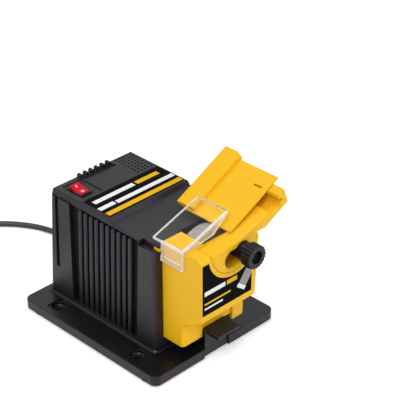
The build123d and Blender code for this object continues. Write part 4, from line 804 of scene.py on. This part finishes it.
@dataclass
class MainsLead(Dressed):
    """Mains lead: ribbed strain relief, free stretch, coil with its tie, sleeve and plug."""

    finishes = {PLATED: "plug_pins"}
    diameter: float = 0.0062
    length: float = 1.915
    turn_pitch: float = 0.008
    layer_rise: float = 0.0074
    inner_radius: float = 0.0236
    half_turns: int = 7
    end_angle: float = math.pi
    end_straight: float = 0.03
    end_bend: float = 0.45
    points_per_turn: int = 20
    sleeve_rings: int = 5
    tie_angle: float = math.radians(110)
    tie_width: float = 0.009
    tie_thickness: float = 0.001
    tie_gap: float = 0.0006
    tie_corner: float = 0.003
    route: tuple[Point, ...] = (
        (0.03, 0.10595, 0.024),
        (0.03, 0.123, 0.024),
        (0.0304, 0.137, 0.018),
        (0.0306, 0.151, 0.01),
        (0.0304, 0.1655, 0.0044),
        (0.0285, 0.18, 0.0031),
        (0.024, 0.1945, 0.0031),
        (0.0172, 0.207, 0.0031),
        (0.0085, 0.2195, 0.0031),
        (-0.0018, 0.2304, 0.0031),
        (-0.014, 0.242, 0.0035),
        (-0.027, 0.2544, 0.0044),
        (-0.0385, 0.2636, 0.0044),
        (-0.0496, 0.2726, 0.0044),
    )

    def coil_centre(self) -> tuple[Vector, float]:
        """Returns the middle of the coil, level with its lower turns, and its outer radius."""
        last, before = Vector(self.route[-1]), Vector(self.route[-2])
        way = (last - before).normalized()
        outer = self.inner_radius + self.half_turns * self.turn_pitch / 2
        return last + Vector((-way.y, way.x, 0)) * outer, outer

    def coil_points(self) -> list[Vector]:
        """Returns the turns: in on the lower layer, up in half a turn, and out again on the upper one."""
        centre, outer = self.coil_centre()
        spoke = Vector(self.route[-1]) - centre
        first = math.atan2(spoke.y, spoke.x)
        total = 2 * self.half_turns * math.pi
        total += (self.end_angle - first - total) % FULL_TURN
        count = round(total / FULL_TURN * self.points_per_turn)
        spread = 1 / math.cos(math.pi / self.points_per_turn)
        points = []
        for k in range(1, count + 1):
            turned = total * k / count
            step = turned / math.pi
            gone_in, gone_out = min(step, self.half_turns), max(step - self.half_turns - 1, 0)
            radius = (outer + (gone_out - gone_in) * self.turn_pitch / 2) * spread
            climb = min(max(step - self.half_turns, 0), 1)
            rise = self.layer_rise * climb * climb * (3 - 2 * climb)
            angle = first + turned
            points.append(centre + Vector((math.cos(angle) * radius, math.sin(angle) * radius, rise)))
        return points

    def build_cord(self) -> Piece:
        """Builds the lead as one smooth curve from the strain relief to the plug's sleeve."""
        turns = self.coil_points()
        end = turns[-1] + Vector((0, -self.end_straight, 0))
        points = [Vector(p) for p in self.route] + turns + [turns[-1].lerp(end, self.end_bend), end]
        curve = bpy.data.curves.new("mains_cord", "CURVE")
        curve.dimensions = "3D"
        curve.bevel_depth = self.diameter / 2
        curve.bevel_resolution = 4
        curve.resolution_u = 5
        curve.use_fill_caps = True
        line = curve.splines.new("NURBS")
        line.points.add(len(points) - 1)
        for point, at in zip(line.points, points):
            point.co = (*at, 1.0)
        line.order_u = 3
        line.use_endpoint_u = True
        piece = added("mains_cord", curve)
        LEAD_SHEATH.dress(piece)
        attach(piece, "machine")
        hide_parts("cord_tube", "cord_coil")
        return piece

    def build_gland(self) -> Piece:
        """Builds the ribbed strain relief where the lead leaves the shell."""
        low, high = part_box("cord_gland")
        middle = (low + high) / 2
        start, tip = low.y, high.y
        collar_r = (high.x - low.x) / 2
        stem_r, sleeve_r, tip_r, bore_r = 0.005, 0.0056, 0.004, 0.00335
        stem, collar, bevel = 0.009, 0.0025, 0.0004
        groove_depth, least_wall, groove_end, ring_start = 0.0012, 0.0003, 0.3, 0.36
        begin = stem + collar
        profile = [(0, bore_r), (0, stem_r), (stem, stem_r), (stem, collar_r - bevel)]
        profile += [(stem + bevel, collar_r), (begin - bevel, collar_r), (begin, collar_r - bevel)]
        pitch = (tip - start - begin) / self.sleeve_rings
        for ring in range(self.sleeve_rings):
            share = ring / self.sleeve_rings
            radius = sleeve_r + (tip_r - sleeve_r) * share
            groove = max(radius - groove_depth, bore_r + least_wall)
            at = begin + ring * pitch
            rise, end = at + ring_start * pitch, at + pitch
            profile += [(at, groove), (at + groove_end * pitch, groove), (rise, radius - bevel)]
            profile += [(rise + bevel, radius), (end - bevel, radius - bevel / 2), (end, radius - bevel)]
        profile += [(tip - start, bore_r), (0, bore_r)]
        mesh = lathe(profile, (middle.x, start, middle.z), (0, 1, 0))
        piece = new_piece("strain_relief", mesh, "machine", LEAD_SHEATH)
        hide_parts("cord_gland")
        return piece

    def build_tie(self) -> Piece:
        """Builds the soft strap that holds the coil, as a rounded loop with a thickness."""
        centre, outer = self.coil_centre()
        radius = self.diameter / 2
        inner_edge = self.inner_radius - radius - self.tie_gap
        outer_edge = outer + radius + self.tie_gap
        low = centre.z - radius - self.tie_gap / 2
        high = centre.z + self.layer_rise + radius + self.tie_gap
        way = Vector((math.cos(self.tie_angle), math.sin(self.tie_angle), 0))
        side = Vector((-way.y, way.x, 0))
        ground = Vector((centre.x, centre.y, 0))
        mesh = bmesh.new()
        corners = [
            mesh.verts.new(ground + way * run + Vector((0, 0, z)) - side * self.tie_width / 2)
            for run, z in ((inner_edge, low), (outer_edge, low), (outer_edge, high), (inner_edge, high))
        ]
        loop = [mesh.edges.new((a, b)) for a, b in zip(corners, corners[1:] + corners[:1])]
        shift_new(mesh, bmesh.ops.extrude_edge_only(mesh, edges=loop), side * self.tie_width)
        least = self.tie_width * 0.9
        cross = [e for e in mesh.edges if abs((e.verts[1].co - e.verts[0].co).dot(side)) > least]
        rounded(mesh, cross, self.tie_corner, CORNER_STEPS)
        face_out(mesh)
        bmesh.ops.solidify(mesh, geom=mesh.faces, thickness=-self.tie_thickness)
        face_out(mesh)
        piece = new_piece("coil_strap", mesh, "machine", TIE_BLACK)
        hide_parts("cord_tie")
        return piece

    def build_plug(self) -> Piece:
        """Builds the moulded plug with rounded edges and finger grips."""
        low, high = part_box("plug_body")
        middle = (low + high) / 2
        neck_half, half, neck_share = 0.008, (high.x - low.x) / 2, 0.45
        edge_round, grip_border, grip_depth, upward = 0.0032, 0.003, 0.0008, 0.99
        neck_end = high.y - neck_share * (high.y - low.y)
        flank = [(neck_half, high.y), (half, neck_end), (half, low.y)]
        outline = [(middle.x - x, y) for x, y in flank] + [(middle.x + x, y) for x, y in flank[::-1]]
        mesh = bmesh.new()
        floor = mesh.faces.new([mesh.verts.new((x, y, low.z)) for x, y in outline])
        rise = Vector((0, 0, high.z - low.z))
        shift_new(mesh, bmesh.ops.extrude_face_region(mesh, geom=[floor]), rise)
        face_out(mesh)
        rounded(mesh, list(mesh.edges), edge_round, CORNER_STEPS)
        flats = [f for f in mesh.faces if abs(f.normal.z) > upward]
        bmesh.ops.inset_individual(mesh, faces=flats, thickness=grip_border, depth=-grip_depth)
        face_out(mesh)
        piece = new_piece("moulded_plug", mesh, "machine", PLUG_BLACK)
        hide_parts("plug_body")
        return piece

    def build_sleeve(self) -> Piece:
        """Builds the ringed sleeve between the lead and its plug."""
        low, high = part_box("plug_sleeve")
        middle = (low + high) / 2
        long, wide, tip, bore = high.y - low.y, (high.x - low.x) / 2, 0.0039, 0.0033
        bevel, groove = 0.0002, 0.0005
        shares_and_cuts = ((0, bevel), (0.1, 0), (0.6, 0), (0.68, groove), (1, groove))
        profile = [(0, bore)]
        pitch = long / self.sleeve_rings
        for ring in range(self.sleeve_rings):
            radius = tip + (wide - tip) * ring / (self.sleeve_rings - 1)
            at = ring * pitch
            profile += [(at + share * pitch, radius - cut) for share, cut in shares_and_cuts]
        profile += [(long, bore), (0, bore)]
        mesh = lathe(profile, (middle.x, high.y, middle.z), (0, -1, 0))
        piece = new_piece("ringed_sleeve", mesh, "machine", LEAD_SHEATH)
        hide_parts("plug_sleeve")
        return piece

    def build(self) -> None:
        cord = self.build_cord()
        on_it = [self.build_tie(), self.build_sleeve(), self.build_plug(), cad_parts["plug_pins"]]
        self.build_gland()
        super().build()
        log.info("mains lead: cord, strain relief, strap, sleeve, plug")


@dataclass
class RockerSwitch(Dressed):
    """Red rocker in its frame, with a line and a ring as its two marks."""

    finishes = {SWITCH_BLACK: "switch_frame", ROCKER_RED: "switch_rocker", COPPER: "switch_terminals"}
    axis: Point = (-0.036, 0.0518, 0.1337)
    tilt: float = math.radians(9)
    half_length: float = 0.0082
    end_height: float = 0.0022
    mid_height: float = 0.0009
    mark_place: float = 0.0047
    mark_height: float = 0.00016
    mark_sunk: float = 0.4
    mark_round: float = 0.00005
    line_length: float = 0.0034
    line_width: float = 0.0009
    ring_radius: float = 0.0017
    ring_width: float = 0.0007
    ring_steps: int = 40

    def face(self, back: bool) -> Matrix:
        """Places one half of the rocker's top.

        Args:
            back: whether it is the half towards the back.

        Returns:
            Frame at the mark's middle, with X across, Y along the half and Z out of it.
        """
        side = 1 if back else -1
        turned = Matrix.Rotation(self.tilt, 4, "X")
        incline = math.atan2(self.end_height - self.mid_height, self.half_length)
        slope = Matrix.Rotation(side * incline, 4, "X")
        rise = Matrix.Translation((0, 0, self.mid_height))
        run = Matrix.Translation((0, side * self.mark_place, -self.mark_sunk * self.mark_height))
        return Matrix.Translation(self.axis) @ turned @ rise @ slope @ run

    def build_line(self) -> Piece:
        """Builds the line mark of the on side."""
        mesh = bmesh.new()
        bmesh.ops.create_cube(mesh, size=1.0)
        bmesh.ops.scale(mesh, vec=(self.line_width, self.line_length, self.mark_height), verts=mesh.verts)
        rounded(mesh, list(mesh.edges), self.mark_round, 2)
        bmesh.ops.transform(mesh, matrix=self.face(True), verts=mesh.verts)
        return new_piece("rocker_line", mesh, "rocker", MARK_WHITE)

    def build_ring(self) -> Piece:
        """Builds the ring mark of the off side."""
        half, outer = self.mark_height / 2, self.ring_radius
        inner = outer - self.ring_width
        profile = [(-half, inner), (-half, outer), (half, outer), (half, inner), (-half, inner)]
        mesh = lathe(profile, (0, 0, 0), (0, 0, 1), self.ring_steps)
        bmesh.ops.transform(mesh, matrix=self.face(False), verts=mesh.verts)
        return new_piece("rocker_ring", mesh, "rocker", MARK_WHITE)

    def build(self) -> None:
        """Builds the marks and dresses the switch."""
        for piece in (self.build_line(), self.build_ring()):
            log.info("%s on the rocker", piece.name)
        super().build()


class MotorHousing(Dressed):
    """Base plate, ribbed shell, cover and label."""

    finishes = {
        BASE_BLACK: "base_plate",
        SHELL_BLACK: "housing_shell",
        COVER_BLACK: "top_cover",
        CAP_FILM: "cap_label",
        FOOT_RUBBER: "rubber_feet",
        STEEL: "housing_screws",
    }


class Motor(Dressed):
    """Motor inside the shell, and the wheel on its shaft."""

    finishes = {
        IRON_STACK: "stator rotor_core",
        WINDING: "field_windings rotor_windings",
        COPPER: "brush_holders commutator",
        ALLOY: "front_bracket rear_bracket",
        STEEL: "motor_bolts motor_spacers front_bearing rear_bearing rotor_shaft"
        " wheel_collar wheel_washer wheel_nut",
        CARBON: "carbon_brushes",
        FAN_GREY: "cooling_fan",
        ABRASIVE: "grinding_wheel",
    }


@dataclass
class EyeGuard:
    """Clear sheet folded over the left wall, with a gusset along its front; its cut edges are white, partly
    as frosted cut and partly as painted glow, and a white band of painted glow runs round the borders of its
    panes.
    """

    thickness: float = 0.0022
    lip_thickness: float = 0.0019
    lip_back: float = -0.0677
    hem: float = 0.0009
    hem_height: float = 0.0055
    fold_height: float = 0.1331
    gusset: tuple[Pair, ...] = ((-0.0277, 0.1308), (-0.0033, 0.1341))
    edge_radius: float = 0.00025
    glow_border: float = 0.0011
    thin_glow_border: float = 0.0005
    pane_width: float = 0.03
    least_pane: float = 9.0  # in squares of the border

    def build(self) -> None:
        """Builds the guard from its corners, named by where they are and how far back."""
        low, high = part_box("eye_guard")
        left, right = low.x + self.hem, high.x
        inner = left + self.lip_thickness
        slope = (high.z - self.fold_height) / (right - left)
        under = self.fold_height - self.thickness
        hem_top = low.z + self.hem_height
        spots = {
            "fold": (left, self.fold_height),
            "top": (right, high.z),
            "tip": (right, high.z - self.thickness),
            "outer": (left, under),
            "inner": (inner, under + slope * (inner - left)),
            "brow": (left, hem_top),
            "hem": (low.x, hem_top),
            "sole": (low.x, low.z),
            "foot": (inner, low.z),
            "near": (inner, self.gusset[0][1]),
            "mid": self.gusset[0],
            "far": self.gusset[1],
        }
        levels = {"f": low.y, "g": low.y + self.thickness, "l": self.lip_back, "b": high.y}
        clear_faces = (
            "fold.f top.f top.b fold.b",
            "tip.g tip.b outer.b outer.l inner.l inner.g",
        )
        cut_faces = (
            "top.f tip.f tip.g tip.b top.b",
            "outer.f outer.l outer.b fold.b fold.f",
            "sole.f sole.l foot.l foot.f",
            "sole.l hem.l brow.l outer.l inner.l foot.l",
            "outer.b fold.b top.b tip.b",
            "outer.f fold.f top.f tip.f inner.f",
            "outer.f inner.f near.f foot.f sole.f hem.f brow.f",
            "tip.f tip.g far.g far.f",
            "far.f far.g mid.g mid.f",
            "mid.f mid.g near.g near.f",
            "brow.f brow.l hem.l hem.f",
        )
        milky_faces = (
            "brow.f brow.l outer.l outer.f",
            "foot.f foot.l inner.l inner.g near.g near.f",
            "hem.f hem.l sole.l sole.f",
            "inner.g tip.g far.g mid.g near.g",
            "inner.f tip.f far.f mid.f near.f",
        )
        mesh = bmesh.new()
        corners = {}
        for kind, faces in zip(GuardFace, (clear_faces, cut_faces, milky_faces)):
            for names in faces:
                loop = []
                for name in names.split():
                    if name not in corners:
                        spot, level = name.split(".")
                        x, z = spots[spot]
                        corners[name] = mesh.verts.new((x, levels[level], z))
                    loop.append(corners[name])
                mesh.faces.new(loop).material_index = kind
        face_out(mesh)
        sharp = [e for e in mesh.edges if e.calc_face_angle(0.0) > SMOOTH_BELOW]
        rounded(mesh, sharp, self.edge_radius, 2)
        # Painted glow: a white band inset round each pane stands in for light carried along the sheet to its
        # edges; bands along the right side stay clear.
        least = self.glow_border**2 * self.least_pane
        panes = [f for f in mesh.faces if f.material_index != GuardFace.CUT and f.calc_area() > least]
        broad = [f for f in panes if f.calc_area() > self.pane_width**2]
        narrow = [f for f in panes if f not in broad]
        for width, framed in ((self.glow_border, broad), (self.thin_glow_border, narrow)):
            for glow_rim in bmesh.ops.inset_individual(mesh, faces=framed, thickness=width)["faces"]:
                at_right = glow_rim.calc_center_median().x >= right - 2 * self.glow_border
                glow_rim.material_index = GuardFace.CLEAR if at_right else GuardFace.CUT
        piece = new_piece("folded_guard", mesh, "machine", GUARD_CLEAR, GUARD_EDGE_AND_GLOW, GUARD_MILKY)
        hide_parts("eye_guard")
        log.info("%s: folded clear sheet", piece.name)


class GuideAttachment(Dressed):
    """Clip-on attachment with its tilting arm, sliding guide, eye guard and clamp knob."""

    finishes = {
        YELLOW: "attachment_body tilt_arm guide_carriage",
        KNOB_BLACK: "clamp_knob",
        BASE_BLACK: "release_latch",
        STEEL: "clamp_bolt",
        FRONT_FILM: "front_label",
    }

    def build(self) -> None:
        """Builds the guard and dresses the attachment's solids."""
        EyeGuard().build()
        super().build()


def placed(name: str, data: bpy.types.ID, at: Point, aim: Point) -> Piece:
    """Returns a new lamp or camera that stands at one point and aims at another."""
    made = added(name, data)
    made.location = at
    made.rotation_euler = (Vector(aim) - Vector(at)).to_track_quat("-Z", "Y").to_euler()
    return made


@dataclass(frozen=True)
class Softbox:
    """One soft lamp that points at the object."""

    name: str
    at: Point
    aim: Point
    size: float
    power: float

    def build(self) -> None:
        """Builds the lamp, placed and aimed."""
        lamp = bpy.data.lights.new(self.name, "AREA")
        lamp.shape = "DISK"
        lamp.size = self.size
        lamp.energy = self.power
        placed(self.name, lamp, self.at, self.aim)


@dataclass
class Studio:
    """Pale floor, soft light and the camera of the picture."""

    eye: Point = (-0.841, -0.9135, 0.8684)
    aim: Point = (0.11644, 0.04162, 0.0625)
    lens: float = 137.14
    sensor: float = 36.0
    clip: Pair = (0.05, 30.0)
    floor_radius: float = 6.0
    floor_steps: int = 96
    floor_colour: Colour = (0.93, 0.93, 0.93)
    floor_glow: float = 0.36
    ambient: float = 0.42
    lamps: tuple[Softbox, ...] = (
        Softbox("key_softbox", (-1.1, -0.6, 1.6), (0.0, 0.0, 0.08), 1.0, 17.0),
        Softbox("front_softbox", (0.9, -1.6, 1.0), (0.0, -0.05, 0.08), 1.0, 12.0),
        Softbox("top_softbox", (0.2, 0.5, 2.0), (0.0, 0.0, 0.08), 1.2, 10.0),
    )

    def build_camera(self) -> None:
        """Sets the camera at the picture's viewing angle."""
        data = bpy.data.cameras.new("picture_camera")
        data.lens = self.lens
        data.sensor_width = self.sensor
        data.clip_start, data.clip_end = self.clip
        bpy.context.scene.camera = placed("picture_camera", data, self.eye, self.aim)

    def build_floor(self) -> None:
        """Builds the pale floor, white to the camera and in reflections, with the object's shadow."""
        mesh = bmesh.new()
        bmesh.ops.create_circle(mesh, cap_ends=True, segments=self.floor_steps, radius=self.floor_radius)
        data = bpy.data.meshes.new("studio_floor")
        mesh.to_mesh(data)
        mesh.free()
        floor = added("studio_floor", data)
        made = bpy.data.materials.new("pale_floor")
        wire = cleared(made)
        matt = wire.node("BsdfDiffuse", {"Color": (*self.floor_colour, 1.0)})
        glow = wire.node("Emission", {"Color": WHITE, "Strength": self.floor_glow})
        both = wire.node("AddShader", {0: matt.outputs[0], 1: glow.outputs[0]})
        show_by_ray(wire, "OutputMaterial", matt, both)
        data.materials.append(made)

    def build_world(self) -> None:
        """Sets a soft ambient light, and plain white where the camera, metal and glass see it."""
        world = bpy.data.worlds.new("studio_world")
        bpy.context.scene.world = world
        wire = cleared(world)
        soft = wire.node("Background", {"Color": WHITE, "Strength": self.ambient})
        white = wire.node("Background", {"Color": WHITE, "Strength": 1.0})
        show_by_ray(wire, "OutputWorld", soft, white)

    def build(self) -> None:
        """Builds the camera, floor, world and lamps."""
        self.build_camera()
        self.build_floor()
        self.build_world()
        for lamp in self.lamps:
            lamp.build()
        bpy.context.scene.view_settings.view_transform = "Standard"
        log.info("studio: camera, floor, world, %d lamps", len(self.lamps))


def show_by_ray(wire: Wiring, output: str, lit: Node, seen: Node) -> None:
    """Shows one shader to camera, glossy and transmission rays, and another to the rest.

    Args:
        wire: wiring of the floor or the world.
        output: kind of its output node.
        lit: shader for the rest.
        seen: shader for camera, glossy and transmission rays.
    """
    path = wire.node("LightPath").outputs
    some = wire.calc("MAXIMUM", path["Is Camera Ray"], path["Is Glossy Ray"])
    direct = wire.calc("MAXIMUM", some, path["Is Transmission Ray"])
    shown = wire.node("MixShader", {0: direct, 1: lit.outputs[0], 2: seen.outputs[0]})
    wire.node(output, {"Surface": shown.outputs[0]})


def main() -> None:
    """Builds the studio and dresses the sharpener, piece by piece."""
    logging.basicConfig(level=logging.INFO, format="%(name)s: %(message)s")
    for assembly in (Studio(), MainsLead(), MotorHousing(), Motor(), RockerSwitch(), GuideAttachment()):
        assembly.build()


if __name__ == "__main__":
    main()
